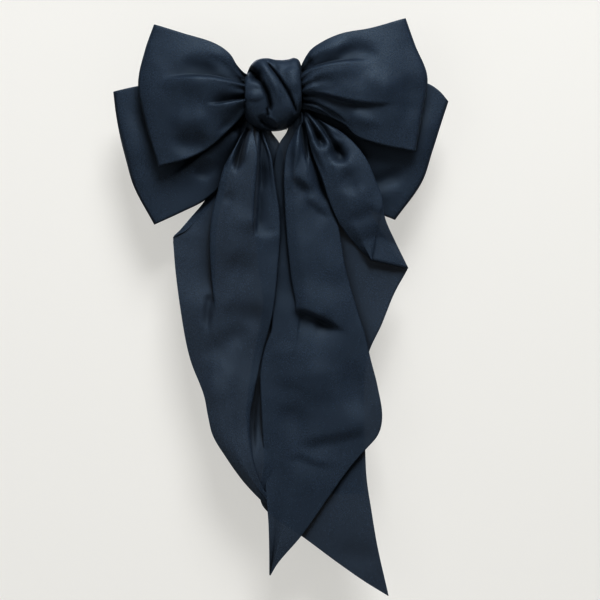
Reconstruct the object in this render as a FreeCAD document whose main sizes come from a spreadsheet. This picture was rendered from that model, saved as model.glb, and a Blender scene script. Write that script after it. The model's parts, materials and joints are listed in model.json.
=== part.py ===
import FreeCAD
import Part
import Sketcher
import math
import os

# A large satin hair bow on a spring barrette, in millimetres.
#
# The bow is worn upright: +Z is up, the bow faces -Y and the wearer's head is on the +Y side.
# The origin is the middle of the gap that grips the hair, between the tension bar and the swing arm.
# Two sewn rings of satin (upper_bow and lower_bow) and two tail strips are pinched at their middles
# by a thread, wrapped by the knot band, and sewn through a felt backing to the barrette's base plate.
# From the front the layers are: upper bow, front strip, back strip, lower bow, felt, barrette.
# The tails hang free below TAIL_HINGE, which is just under the lower bow's corners.

doc = FreeCAD.newDocument("hair_bow")
sheet = doc.addObject("Spreadsheet::Sheet", "sizes")

SIZES = [
    # barrette
    ("hair_gap", 5.5, "gap that grips the hair, from tension bar to arm"),
    ("plate_length", 80, "base plate, end to end"),
    ("plate_width", 10, "base plate"),
    ("plate_thick", 0.8, "base plate, stamped steel"),
    ("plate_rise", 4.5, "how far the plate's ends curve towards the head"),
    ("bar_stand", 5.6, "from the plate's back face to the top of the tension bar, at the middle"),
    ("bar_length", 48, "tension bar"),
    ("bar_width", 6, "tension bar"),
    ("bar_thick", 0.45, "tension bar, spring steel"),
    ("bar_rise", 1.6, "bow of the tension bar"),
    ("bridge_width", 3, "each bridge that holds an end of the tension bar"),
    ("bridge_thick", 0.6, "bridge's strap"),
    ("bridge_overhang", 1, "how far the tension bar runs past a bridge's middle"),
    ("arm_length", 76, "swing arm, between the ends of its curved strip"),
    ("arm_width", 5, "swing arm"),
    ("arm_thick", 0.7, "swing arm's strip"),
    ("arm_rise", 1.5, "bow of the swing arm, towards the head"),
    ("flange_height", 1.2, "swing arm's side flanges"),
    ("flange_thick", 0.5, "swing arm's side flanges"),
    ("flange_end", 30, "half the length of the flanges"),
    ("knuckle_radius", 1.7, "swing arm's hinge knuckle"),
    ("pin_radius", 0.7, "hinge pin"),
    ("pin_clear", 0.06, "running clearance round the hinge pin"),
    ("pin_head_radius", 1.2, "riveted heads of the hinge pin"),
    ("pin_head_thick", 0.5, "riveted heads of the hinge pin"),
    ("pin_inset", 0.2, "from the arm's end back to the pin"),
    ("ear_thick", 0.8, "hinge ears"),
    ("ear_half", 2.1, "half the width of a hinge ear, and its reach past the pin"),
    ("side_clear", 0.15, "clearance between parts that slide past each other"),
    ("bracket_thick", 0.6, "clasp bracket"),
    ("bracket_start", 30, "clasp bracket, from the middle of the clip"),
    ("bracket_end", 39.8, "clasp bracket, from the middle of the clip"),
    ("bracket_width", 7, "clasp bracket"),
    ("rivet_place", 31.8, "clasp rivet, from the middle of the clip"),
    ("rivet_radius", 0.95, "clasp rivet's shank"),
    ("rivet_head_radius", 1.6, "clasp rivet's heads"),
    ("rivet_head_thick", 0.6, "clasp rivet's heads"),
    ("rivet_clear", 0.05, "round the clasp rivet's shank"),
    ("tab_middle", 36.6, "middle of the release tabs, from the middle of the clip"),
    ("tab_length", 4, "release tabs, along the clip"),
    ("tab_thick", 0.6, "release tabs, spring steel"),
    ("tab_inside", 0.9, "from the clip's centreline to a tab's prong"),
    ("tab_reach", 6.6, "from the clip's centreline to a tab's finger pad"),
    ("tab_pad", 2.2, "height of a finger pad"),
    ("tab_barb", 0.25, "how far a barb stands out of its prong"),
    ("lug_thick", 0.5, "lugs at the ends of the release tabs"),
    ("window_clear", 0.3, "clearance of the arm's window along the clip"),
    ("sewing_place", 28, "sewing holes, from the middle of the clip"),
    ("sewing_half", 3, "sewing holes, each side of the clip's centreline"),
    ("sewing_radius", 0.9, "sewing holes"),
    # stitching and backing
    ("thread_diameter", 0.9, "waxed thread round the waist"),
    ("thread_turns", 5, "turns of thread round the waist"),
    ("sewing_thread", 0.8, "thread that sews the barrette on"),
    ("closing_thread", 0.6, "thread that closes the knot band"),
    ("closing_pitch", 4, "from one closing stitch to the next"),
    ("closing_length", 3, "length of a closing stitch"),
    ("felt_length", 70, "felt backing"),
    ("felt_height", 22, "felt backing"),
    ("felt_thick", 1.2, "felt backing"),
    ("felt_gap", 0.25, "between the felt and what lies on it"),
    # knot and waist
    ("knot_width", 37, "knot band, across the bow"),
    ("knot_height", 47, "knot band"),
    ("knot_depth", 30, "knot band"),
    ("knot_round", 12, "corner radius of the knot band"),
    ("knot_edge", 3, "rounding of the knot band's edges"),
    ("knot_back_wall", 6.7, "the folded ends of the knot band, behind the waist"),
    ("waist_clear", 0.2, "round the waist's thread, inside the knot band"),
    ("waist_half", 11.5, "half the height of the pinched bows"),
    ("upper_waist", 4.5, "thickness of the upper bow's waist"),
    ("lower_waist", 6.5, "thickness of the lower bow's waist"),
    ("strip_waist_half", 9, "half the height of the pinched tail strips"),
    ("strip_thick", 2, "gathered tail strip or tail"),
    ("layer_gap", 0.4, "between layers of the bow"),
    # how full the loops are, as the depth of each ring where it is fullest
    ("upper_fullness", 14.4, "upper bow"),
    ("lower_fullness", 13.4, "lower bow"),
    ("fold_thick", 3.5, "a loop at its outer fold"),
    ("full_place", 46, "where the loops are fullest, from the middle of the bow"),
    # tails
    ("hinge_drop", 88.8, "from the clip's middle down to where the tails start to hang free"),
    ("hinge_room", 2.2, "room each side of that line, so that the tails can swing"),
]

# Outlines, seen from the front as (x, z): each point is a pair of cells named after it.
UPPER_BOW = [
    ("upper_left_shoulder", -37, 30),
    ("upper_left_crown", -77.5, 43.5),
    ("upper_left_fold", -87.5, 5),
    ("upper_left_foot", -74.5, -48.5),
    ("upper_left_hem", -41, -36),
    ("upper_right_hem", 46, -21),
    ("upper_right_foot", 91.5, -38.5),
    ("upper_right_fold", 99.5, 10),
    ("upper_right_crown", 85, 47.5),
    ("upper_right_shoulder", 43, 36.5),
]
LOWER_BOW = [
    ("lower_left_shoulder", -60, 9),
    ("lower_left_crown", -105, 1.5),
    ("lower_left_fold", -98, -42),
    ("lower_left_foot", -78, -85.5),
    ("lower_left_hem", -46, -70),
    ("lower_right_hem", 56, -72),
    ("lower_right_foot", 79, -82.5),
    ("lower_right_fold", 103, -37),
    ("lower_right_crown", 114, -5),
    ("lower_right_shoulder", 60, 11),
]
# The tails' outlines below the hinge line, from the left end of that line round to its right end.
# Each tail's two points on the line itself are x only.
TAILS = {
    "front_left_tail": (
        ("front_left_start", -65),
        [
            ("front_left_corner", -66, -95),
            ("front_left_side", -60, -145),
            ("front_left_lower", -53.5, -176.5),
            ("front_left_bend", -42.5, -210),
            ("front_left_sweep", -18.5, -254.5),
            ("front_left_tip", 4, -276.5),
            ("front_left_inner", -5, -215),
            ("front_left_pleat", 0, -143),
        ],
        ("front_left_finish", 5.5),
    ),
    "front_right_tail": (
        ("front_right_start", 7),
        [
            ("front_right_pleat", 7, -120),
            ("front_right_side", -8.8, -180),
            ("front_right_lower", -6.5, -240),
            ("front_right_tip", -2.7, -314),
            ("front_right_cut", 50.5, -243),
            ("front_right_bulge", 70.3, -214),
            ("front_right_edge", 59.5, -158),
        ],
        ("front_right_finish", 42),
    ),
    "back_right_tail": (
        ("back_right_start", 35),
        [
            ("back_right_hidden", 14, -140),
            ("back_right_side", -2, -210),
            ("back_right_cut", -6, -272),
            ("back_right_tip", 74.8, -328),
            ("back_right_lower", 59.5, -232),
            ("back_right_edge", 62, -169),
            ("back_right_corner", 87.4, -114),
        ],
        ("back_right_finish", 74.5),
    ),
    "back_left_tail": (
        ("back_left_start", -20),
        [
            ("back_left_side", -6, -150),
            ("back_left_cut", 22, -263),
            ("back_left_tip", 59, -261),
            ("back_left_edge", 44, -150),
        ],
        ("back_left_finish", 14),
    ),
}
# The strips' legs between the knot and the hinge line: outer side, then inner side, from the knot down.
LEGS = {
    "front_left_leg": [(-24, -9), (-37, -66), (-41.5, None), (5.5, None), (-1, -41), (-6, -26)],
    "front_right_leg": [(24, -9), (31, -56), (41, None), (7, None), (6, -50), (14, -26)],
    "back_left_leg": [(-23, -9), (-46, -70), (-62.5, None), (12, None), (8, -60), (-6, -26)],
    "back_right_leg": [(26, -9), (52, -33), (73.3, None), (35, None), (24, -50), (16, -26)],
}


def put(alias, value, note):
    """One driving dimension, in the next row of the sheet."""
    row = put.row = getattr(put, "row", 0) + 1
    sheet.set(f"A{row}", note)
    sheet.set(f"B{row}", str(value))
    sheet.setAlias(f"B{row}", alias)


def fill_sheet():
    for alias, value, note in SIZES:
        put(alias, value, note)
    outlines = UPPER_BOW + LOWER_BOW
    for start, outline, finish in TAILS.values():
        outlines = outlines + outline
        put(f"{start[0]}_x", start[1], "tail outline")
        put(f"{finish[0]}_x", finish[1], "tail outline")
    for name, x, z in outlines:
        put(f"{name}_x", x, "outline")
        put(f"{name}_z", z, "outline")
    for leg, points in LEGS.items():
        for i, (x, z) in enumerate(points):
            put(f"{leg}_point{i + 1}_x", x, "outline")
            if z is not None:
                put(f"{leg}_point{i + 1}_z", z, "outline")
    doc.recompute()


def at(name):
    """An outline point's two expressions."""
    return f"sizes.{name}_x", f"sizes.{name}_z"


def value(expression):
    """What an expression of the sheet's cells comes to, in millimetres."""
    return float(sheet.evalExpression(expression.replace("sizes.", "")))


# Places along Y, as expressions. The hair gap's middle is 0, and the bow is in front, at negative Y.
PLATE_BACK = "(0 - sizes.hair_gap / 2 - sizes.bar_stand)"
PLATE_FRONT = f"({PLATE_BACK} - sizes.plate_thick)"
FELT_BACK = f"({PLATE_FRONT} - sizes.felt_gap)"
FELT_FRONT = f"({FELT_BACK} - sizes.felt_thick)"
KNOT_BACK = f"({FELT_FRONT} - sizes.felt_gap)"
KNOT_FRONT = f"({KNOT_BACK} - sizes.knot_depth)"
KNOT_HOLE_BACK = f"({KNOT_BACK} - sizes.knot_back_wall)"
THREAD_BACK = f"({KNOT_HOLE_BACK} - sizes.waist_clear)"
LOWER_BACK = f"({THREAD_BACK} - sizes.thread_diameter)"
LOWER_FRONT = f"({LOWER_BACK} - sizes.lower_waist)"
BACK_STRIP_BACK = f"({LOWER_FRONT} - sizes.layer_gap)"
BACK_STRIP_FRONT = f"({BACK_STRIP_BACK} - sizes.strip_thick)"
FRONT_STRIP_BACK = f"({BACK_STRIP_FRONT} - sizes.layer_gap)"
FRONT_STRIP_FRONT = f"({FRONT_STRIP_BACK} - sizes.strip_thick)"
UPPER_BACK = f"({FRONT_STRIP_FRONT} - sizes.layer_gap)"
UPPER_FRONT = f"({UPPER_BACK} - sizes.upper_waist)"
THREAD_FRONT = f"({UPPER_FRONT} - sizes.thread_diameter)"
KNOT_HOLE_FRONT = f"({THREAD_FRONT} - sizes.waist_clear)"
THREAD_HALF = "(sizes.waist_half + sizes.thread_diameter)"
KNOT_HOLE_HALF = f"({THREAD_HALF} + sizes.waist_clear)"
TAIL_HINGE = "(0 - sizes.hinge_drop)"
LEG_END = f"({TAIL_HINGE} + sizes.hinge_room)"
TAIL_START = f"({TAIL_HINGE} - sizes.hinge_room)"

# The clip's curved strips.
PLATE_RADIUS = "(sizes.plate_length * sizes.plate_length / (8 * sizes.plate_rise) + sizes.plate_rise / 2)"
ARM_RADIUS = "(sizes.arm_length * sizes.arm_length / (8 * sizes.arm_rise) + sizes.arm_rise / 2)"
BAR_RADIUS = "(sizes.bar_length * sizes.bar_length / (8 * sizes.bar_rise) + sizes.bar_rise / 2)"
BAR_BACK = "(0 - sizes.hair_gap / 2)"
ARM_FRONT = "(sizes.hair_gap / 2 + sizes.flange_height)"
PIN_X = "(sizes.pin_inset - sizes.arm_length / 2)"
PIN_Y = f"({ARM_FRONT} + sizes.arm_thick / 2 - sizes.arm_rise)"
EAR_INSIDE = "(sizes.arm_width / 2 + sizes.side_clear)"
EAR_OUTSIDE = f"({EAR_INSIDE} + sizes.ear_thick)"
BRIDGE_X = "(sizes.bar_length / 2 - sizes.bridge_overhang)"


def plate_back_at(x):
    """The base plate's back face at a distance x from the clip's middle."""
    return f"({PLATE_BACK} + {PLATE_RADIUS} - sqrt({PLATE_RADIUS} * {PLATE_RADIUS} - {x} * {x}))"


def bar_back_at(x):
    return f"({BAR_BACK} - {BAR_RADIUS} + sqrt({BAR_RADIUS} * {BAR_RADIUS} - {x} * {x}))"


def new_body(label):
    body = doc.addObject("PartDesign::Body", label)
    body.Label = label
    return body


def new_sketch(body, role, name, offset="0"):
    """A sketch on one of the body's own origin planes, moved along that plane's normal."""
    sketch = body.newObject("Sketcher::SketchObject", name)
    plane = next(f for f in body.Origin.OriginFeatures if f.Role == role)
    sketch.AttachmentSupport = [(plane, "")]
    sketch.MapMode = "FlatFace"
    sketch.setExpression("AttachmentOffset.Base.z", offset)
    return sketch


def pin_point(sketch, edge, end, across, up):
    """Ties one point of an edge to expressions for its two coordinates."""
    for kind, expression in (("DistanceX", across), ("DistanceY", up)):
        index = sketch.addConstraint(Sketcher.Constraint(kind, -1, 1, edge, end, value(expression)))
        sketch.setExpression(f"Constraints[{index}]", expression)


def polygon(sketch, points):
    """A closed outline of straight edges through points that are pairs of expressions."""
    places = [FreeCAD.Vector(value(a), value(b), 0) for a, b in points]
    first = sketch.GeometryCount
    count = len(points)
    for i in range(count):
        sketch.addGeometry(Part.LineSegment(places[i], places[(i + 1) % count]))
    for i in range(count):
        sketch.addConstraint(Sketcher.Constraint("Coincident", first + i, 2, first + (i + 1) % count, 1))
    for i, (across, up) in enumerate(points):
        pin_point(sketch, first + i, 1, across, up)


def circle(sketch, across, up, radius):
    place = FreeCAD.Vector(value(across), value(up), 0)
    edge = sketch.addGeometry(Part.Circle(place, FreeCAD.Vector(0, 0, 1), value(radius)))
    pin_point(sketch, edge, 3, across, up)
    index = sketch.addConstraint(Sketcher.Constraint("Radius", edge, value(radius)))
    sketch.setExpression(f"Constraints[{index}]", radius)


def rounded_box(sketch, middle, up, half_across, half_up, radius):
    """A rectangle with round corners, as four lines and four arcs tied to their corner centres."""
    cx, cy = value(middle), value(up)
    dx, dy, r = value(half_across), value(half_up), value(radius)
    ends = []
    for i, (sx, sy) in enumerate([(1, 1), (-1, 1), (-1, -1), (1, -1)]):
        centre = FreeCAD.Vector(cx + sx * (dx - r), cy + sy * (dy - r), 0)
        round_ = Part.Circle(centre, FreeCAD.Vector(0, 0, 1), r)
        arc = sketch.addGeometry(Part.ArcOfCircle(round_, i * math.pi / 2, (i + 1) * math.pi / 2))
        ends.append(arc)
        pin_point(
            sketch, arc, 3,
            f"({middle} + {sx} * ({half_across} - {radius}))", f"({up} + {sy} * ({half_up} - {radius}))",
        )
    for i, arc in enumerate(ends):
        after = ends[(i + 1) % 4]
        begin = sketch.getPoint(arc, 2)
        finish = sketch.getPoint(after, 1)
        line = sketch.addGeometry(Part.LineSegment(begin, finish))
        sketch.addConstraint(Sketcher.Constraint("Tangent", arc, 2, line, 1))
        sketch.addConstraint(Sketcher.Constraint("Tangent", line, 2, after, 1))
    index = sketch.addConstraint(Sketcher.Constraint("Radius", ends[0], r))
    sketch.setExpression(f"Constraints[{index}]", radius)


def curved_strip(sketch, mid, thick, radius, start, end, towards_head):
    """The side view of a thin curved strip: two arcs about one centre on the Y axis, closed by two lines.
    mid is the Y of its front face at the middle. towards_head is True where its middle bows towards +Y."""
    sign = -1 if towards_head else 1
    centre = f"({mid} + {sign} * {radius})" if not towards_head else f"({mid} + {thick} - {radius})"
    near = f"({radius} - {thick})"
    edges = []
    for r in (radius, near):
        angles = [math.atan2(-sign * math.sqrt(value(r) ** 2 - value(x) ** 2), value(x)) for x in (start, end)]
        round_ = Part.Circle(FreeCAD.Vector(0, value(centre), 0), FreeCAD.Vector(0, 0, 1), value(r))
        edge = sketch.addGeometry(Part.ArcOfCircle(round_, min(angles), max(angles)))
        pin_point(sketch, edge, 3, "0", centre)
        index = sketch.addConstraint(Sketcher.Constraint("Radius", edge, value(r)))
        sketch.setExpression(f"Constraints[{index}]", r)
        left, right = (1, 2) if not towards_head else (2, 1)
        for end_point, x in ((left, start), (right, end)):
            index = sketch.addConstraint(Sketcher.Constraint("DistanceX", -1, 1, edge, end_point, value(x)))
            sketch.setExpression(f"Constraints[{index}]", x)
        edges.append((edge, left, right))
    for side in (1, 2):
        a = sketch.getPoint(edges[0][0], edges[0][side])
        b = sketch.getPoint(edges[1][0], edges[1][side])
        line = sketch.addGeometry(Part.LineSegment(a, b))
        sketch.addConstraint(Sketcher.Constraint("Coincident", line, 1, edges[0][0], edges[0][side]))
        sketch.addConstraint(Sketcher.Constraint("Coincident", line, 2, edges[1][0], edges[1][side]))


def pad(body, sketch, length, both_ways=False, reverse=False):
    feature = body.newObject("PartDesign::Pad", f"{sketch.Name}_pad")
    feature.Profile = sketch
    feature.SideType = "Symmetric" if both_ways else "One side"
    feature.Reversed = reverse
    feature.setExpression("Length", length)
    sketch.Visibility = False
    doc.recompute()
    return feature


def pocket_through(body, sketch):
    """Cuts a sketch through everything on both sides of its plane, and checks that it cut."""
    before = body.Shape.Volume
    feature = body.newObject("PartDesign::Pocket", f"{sketch.Name}_pocket")
    feature.Profile = sketch
    feature.Type = "ThroughAll"
    feature.SideType = "Symmetric"
    doc.recompute()
    if body.Shape.Volume >= before:
        raise RuntimeError(f"{feature.Name} cut nothing")
    return feature


def mirror(body, role, features):
    """Repeats features on the other side of one of the body's origin planes."""
    feature = body.newObject("PartDesign::Mirrored", f"{features[-1].Name}_mirror")
    feature.Originals = features
    plane = next(f for f in body.Origin.OriginFeatures if f.Role == role)
    feature.MirrorPlane = (plane, [""])
    body.Tip = feature
    doc.recompute()
    return feature


def row_along_x(body, features, length, count):
    """Repeats features along the bow's X axis, over a length."""
    feature = body.newObject("PartDesign::LinearPattern", f"{features[-1].Name}_row")
    feature.Originals = features
    axis = next(f for f in body.Origin.OriginFeatures if f.Role == "X_Axis")
    feature.Direction = (axis, [""])
    feature.setExpression("Length", length)
    feature.setExpression("Occurrences", count)
    body.Tip = feature
    doc.recompute()
    return feature


def sweep(body, section, path):
    """A thread: a round section carried along a path."""
    doc.recompute()
    pipe = body.newObject("PartDesign::AdditivePipe", f"{path.Name}_pipe")
    pipe.Profile = section
    pipe.Spine = path
    section.Visibility = False
    path.Visibility = False
    doc.recompute()
    return pipe


def staple_path(path, points, radius):
    """Three straight runs of thread, in, across and out again, with their two corners rounded."""
    places = [FreeCAD.Vector(value(a), value(b), 0) for a, b in points]
    for i in range(3):
        path.addGeometry(Part.LineSegment(places[i], places[i + 1]))
    for i in range(2):
        path.addConstraint(Sketcher.Constraint("Coincident", i, 2, i + 1, 1))
    for i, (across, up) in enumerate(points[:3]):
        pin_point(path, i, 1, across, up)
    pin_point(path, 2, 2, *points[3])
    for i in range(2):
        path.fillet(i, i + 1, places[i], places[i + 2], value(radius), True, True)


def square_to_plate(sketch, x):
    """Moves a sketch on to the base plate's back face at x, and turns it with the plate's curve."""
    turned = (0, 0, 1) if "XY" in sketch.AttachmentSupport[0][0].Role else (0, 1, 0)
    sketch.AttachmentOffset = FreeCAD.Placement(FreeCAD.Vector(), FreeCAD.Rotation(FreeCAD.Vector(*turned), 1))
    sketch.setExpression("AttachmentOffset.Base.x", x)
    if turned == (0, 0, 1):
        sketch.setExpression("AttachmentOffset.Base.y", plate_back_at(x))
        sketch.setExpression("AttachmentOffset.Base.z", "0")
    else:
        sketch.setExpression("AttachmentOffset.Base.z", f"(0 - {plate_back_at(x)})")
    sketch.setExpression("AttachmentOffset.Rotation.Angle", f"asin({x} / {PLATE_RADIUS})")


# ---- the satin pieces ----


def layer(label, points, front, back):
    """A plain flat layer of gathered satin: its outline, seen from the front, from front to back."""
    body = new_body(label)
    sketch = new_sketch(body, "XZ_Plane", f"{label}_outline", f"(0 - {back})")
    polygon(sketch, points)
    pad(body, sketch, f"({back} - {front})")
    return body


def loops(label, outline, depth, waist_front, waist_back):
    """A sewn ring of satin, pinched at its waist: the outline seen from the front, cut to the depth
    that it has seen from above."""
    half = "(sizes.knot_width / 2)"
    waist = "sizes.waist_half"
    count = len(outline) // 2
    left, right = outline[:count], outline[count:]
    points = [(f"(0 - {half})", waist)]
    points += [at(name) for name, _, _ in left]
    points += [(f"(0 - {half})", f"(0 - {waist})"), (half, f"(0 - {waist})")]
    points += [at(name) for name, _, _ in right]
    points += [(half, waist)]
    front_view = new_body(f"{label}_front_view")
    sketch = new_sketch(front_view, "XZ_Plane", f"{label}_outline")
    polygon(sketch, points)
    pad(front_view, sketch, f"(0 - {waist_front} + 2 * {depth})")
    top_view = new_body(f"{label}_top_view")
    sketch = new_sketch(top_view, "XY_Plane", f"{label}_depth")
    polygon(sketch, loop_depths(label, depth, waist_front, waist_back))
    pad(top_view, sketch, "(4 * sizes.hinge_drop)", both_ways=True)
    bow = doc.addObject("Part::Common", label)
    bow.Base = front_view
    bow.Tool = top_view
    bow.Label = label
    doc.recompute()
    return bow


def loop_depths(label, depth, waist_front, waist_back):
    """The ring seen from above. The upper bow lies flat at its back, and the lower bow at its front."""
    half = "(sizes.knot_width / 2 + 1)"
    full = "sizes.full_place"
    tips = [f"sizes.{label.split('_')[0]}_{side}_{place}_x" for side, place in OUTERMOST[label]]
    reach_left, reach_right = f"({tips[0]} - 1)", f"({tips[1]} + 1)"
    if label == "upper_bow":
        flat, puffed = waist_back, f"({waist_back} - {depth})"
        edge = f"({waist_back} - sizes.fold_thick)"
        waist = waist_front
    else:
        flat, puffed = waist_front, f"({waist_front} + {depth})"
        edge = f"({waist_front} + sizes.fold_thick)"
        waist = waist_back
    return [
        (reach_left, flat), (reach_right, flat), (reach_right, edge),
        (full, puffed), (half, waist), (f"(0 - {half})", waist),
        (f"(0 - {full})", puffed), (reach_left, edge),
    ]


OUTERMOST = {
    "upper_bow": (("left", "fold"), ("right", "fold")),
    "lower_bow": (("left", "crown"), ("right", "crown")),
}


def leg_points(leg):
    """A leg's points as expressions; those on the hinge line take their height from it."""
    return [
        (f"sizes.{leg}_point{i + 1}_x", LEG_END if z is None else f"sizes.{leg}_point{i + 1}_z")
        for i, (_, z) in enumerate(LEGS[leg])
    ]


def strip(label, left_leg, right_leg, front, back):
    """A tail strip's gathered middle: it runs through the knot, turns down at each side of it and
    spreads over or behind the lower bow as far as the hinge line."""
    side = "(sizes.knot_width / 2 + sizes.layer_gap)"
    under = "(0 - sizes.knot_height / 2 - sizes.layer_gap)"
    left, right = leg_points(left_leg), leg_points(right_leg)
    top = "sizes.strip_waist_half"
    points = [(left[0][0], top)] + left + [(f"(0 - {side})", under), (f"(0 - {side})", f"(0 - {top})")]
    points += [(side, f"(0 - {top})"), (side, under)] + right[::-1] + [(right[0][0], top)]
    return layer(label, points, front, back)


def tail(label, front):
    """The free part of a tail, below the hinge line."""
    start, outline, finish = TAILS[label]
    points = [(f"sizes.{start[0]}_x", TAIL_START)] + [at(name) for name, _, _ in outline]
    points += [(f"sizes.{finish[0]}_x", TAIL_START)]
    return layer(label, points, front, f"({front} + sizes.strip_thick)")


def knot_band():
    body = new_body("knot_band")
    sketch = new_sketch(body, "YZ_Plane", "knot_ring")
    rounded_box(
        sketch, f"(({KNOT_FRONT} + {KNOT_BACK}) / 2)", "0",
        "(sizes.knot_depth / 2)", "(sizes.knot_height / 2)", "sizes.knot_round",
    )
    rounded_box(
        sketch, f"(({KNOT_HOLE_FRONT} + {KNOT_HOLE_BACK}) / 2)", "0",
        f"(({KNOT_HOLE_BACK} - {KNOT_HOLE_FRONT}) / 2)", KNOT_HOLE_HALF, "(sizes.thread_diameter / 2)",
    )
    ring = pad(body, sketch, "sizes.knot_width", both_ways=True)
    outer = [
        f"Edge{i + 1}"
        for i, edge in enumerate(ring.Shape.Edges)
        if abs(abs(edge.BoundBox.XMin) - value("sizes.knot_width / 2")) < 1e-4
        and edge.BoundBox.XLength < 1e-4
        and is_outer(edge)
    ]
    rounding = body.newObject("PartDesign::Fillet", "knot_rounding")
    rounding.Base = (ring, outer)
    rounding.setExpression("Radius", "sizes.knot_edge")
    doc.recompute()
    return body


def is_outer(edge):
    """True for an edge of the knot ring's outside, not of its hole."""
    middle = edge.CenterOfMass
    past_hole = abs(middle.z) > value(KNOT_HOLE_HALF) + 1e-3
    return past_hole or not value(KNOT_HOLE_FRONT) - 1e-3 <= middle.y <= value(KNOT_HOLE_BACK) + 1e-3


def waist_thread():
    """Turns of thread round the pinched waist, side by side."""
    body = new_body("waist_thread")
    pitch = "(sizes.thread_diameter * 1.1)"
    first = f"((1 - sizes.thread_turns) * {pitch} / 2)"
    middle = f"(({THREAD_FRONT} + {THREAD_BACK}) / 2)"
    slack = "(sizes.thread_diameter * 0.03)"
    half_across = f"(({THREAD_BACK} - {THREAD_FRONT}) / 2 - sizes.thread_diameter / 2 + {slack})"
    half_up = f"(sizes.waist_half + sizes.thread_diameter / 2 + {slack})"
    corner = "(sizes.thread_diameter * 0.55)"
    path = new_sketch(body, "YZ_Plane", "thread_path", first)
    rounded_box(path, middle, "0", half_across, half_up, corner)
    section = new_sketch(body, "XY_Plane", "thread_section", f"({half_up} - {corner})")
    circle(section, first, f"({middle} + {half_across})", "(sizes.thread_diameter / 2)")
    turn = sweep(body, section, path)
    row_along_x(body, [turn], f"((sizes.thread_turns - 1) * {pitch})", "sizes.thread_turns")
    return body


def knot_stitches():
    """Hand stitches that close the knot band underneath, half sunk in the satin."""
    body = new_body("knot_stitches")
    sunk = "(0 - sizes.knot_height / 2 + 2 * sizes.closing_thread)"
    proud = "(0 - sizes.knot_height / 2 - sizes.closing_thread / 4)"
    middle = f"(({KNOT_FRONT} + {KNOT_BACK}) / 2)"
    half = "(sizes.closing_length / 2)"
    start = "(0 - 3 * sizes.closing_pitch)"
    path = new_sketch(body, "YZ_Plane", "closing_path", start)
    ends = [
        (f"({middle} - {half})", sunk), (f"({middle} - {half})", proud),
        (f"({middle} + {half})", proud), (f"({middle} + {half})", sunk),
    ]
    staple_path(path, ends, "sizes.closing_thread")
    section = new_sketch(body, "XY_Plane", "closing_section", sunk)
    circle(section, start, f"({middle} - {half})", "(sizes.closing_thread / 2)")
    pipe = sweep(body, section, path)
    row_along_x(body, [pipe], "(6 * sizes.closing_pitch)", "7")
    return body


def felt_backing():
    body = new_body("felt_backing")
    sketch = new_sketch(body, "XZ_Plane", "felt_outline", f"(0 - {FELT_BACK})")
    rounded_box(sketch, "0", "0", "(sizes.felt_length / 2)", "(sizes.felt_height / 2)", "(sizes.felt_height / 4)")
    pad(body, sketch, "sizes.felt_thick")
    return body


# ---- the barrette ----


def base_plate():
    """A curved steel strip with hinge ears at its left end, two bridges for the tension bar, and
    sewing holes near both ends."""
    body = new_body("base_plate")
    half = "(sizes.plate_length / 2)"
    sketch = new_sketch(body, "XY_Plane", "plate_side")
    curved_strip(sketch, PLATE_FRONT, "sizes.plate_thick", f"({PLATE_RADIUS} + sizes.plate_thick)",
                 f"(0 - {half})", half, False)
    pad(body, sketch, "sizes.plate_width", both_ways=True)
    sketch = new_sketch(body, "XY_Plane", "ear_side", EAR_INSIDE)
    reach = "sizes.ear_half"
    foot = f"({plate_back_at(PIN_X)} - sizes.plate_thick / 2)"
    polygon(sketch, [
        (f"({PIN_X} - {reach})", foot),
        (f"({PIN_X} - {reach})", f"({PIN_Y} + {reach} / 2)"),
        (f"({PIN_X} - {reach} / 2)", f"({PIN_Y} + {reach})"),
        (f"({PIN_X} + {reach} / 2)", f"({PIN_Y} + {reach})"),
        (f"({PIN_X} + {reach})", f"({PIN_Y} + {reach} / 2)"),
        (f"({PIN_X} + {reach})", foot),
    ])
    ear = pad(body, sketch, "sizes.ear_thick")
    mirror(body, "XY_Plane", [ear])
    sketch = new_sketch(body, "YZ_Plane", "bridge_front", BRIDGE_X)
    inner_x = f"({BRIDGE_X} - sizes.bridge_width / 2)"
    under = f"({bar_back_at(inner_x)} + sizes.side_clear / 3)"
    over = f"({under} + sizes.bridge_thick)"
    base = f"({plate_back_at(BRIDGE_X)} - sizes.plate_thick / 2)"
    inside = "(sizes.bar_width / 2 + sizes.side_clear)"
    outside = f"({inside} + sizes.bridge_thick * 1.5)"
    polygon(sketch, [
        (base, outside), (over, outside), (over, f"(0 - {outside})"), (base, f"(0 - {outside})"),
        (base, f"(0 - {inside})"), (under, f"(0 - {inside})"), (under, inside), (base, inside),
    ])
    bridge = pad(body, sketch, "sizes.bridge_width", both_ways=True)
    mirror(body, "YZ_Plane", [bridge])
    sketch = new_sketch(body, "XZ_Plane", "sewing_holes")
    for side in ("", "0 - "):
        for up in ("", "0 - "):
            circle(sketch, f"({side}sizes.sewing_place)", f"({up}sizes.sewing_half)", "sizes.sewing_radius")
    pocket_through(body, sketch)
    rivet_hole(body, "plate_rivet_hole")
    sketch = new_sketch(body, "XY_Plane", "ear_bores")
    circle(sketch, PIN_X, PIN_Y, "(sizes.pin_radius + sizes.pin_clear)")
    pocket_through(body, sketch)
    return body


def rivet_hole(body, name):
    sketch = new_sketch(body, "XZ_Plane", name)
    square_to_plate(sketch, "sizes.rivet_place")
    circle(sketch, "0", "0", "(sizes.rivet_radius + sizes.rivet_clear)")
    pocket_through(body, sketch)


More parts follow.
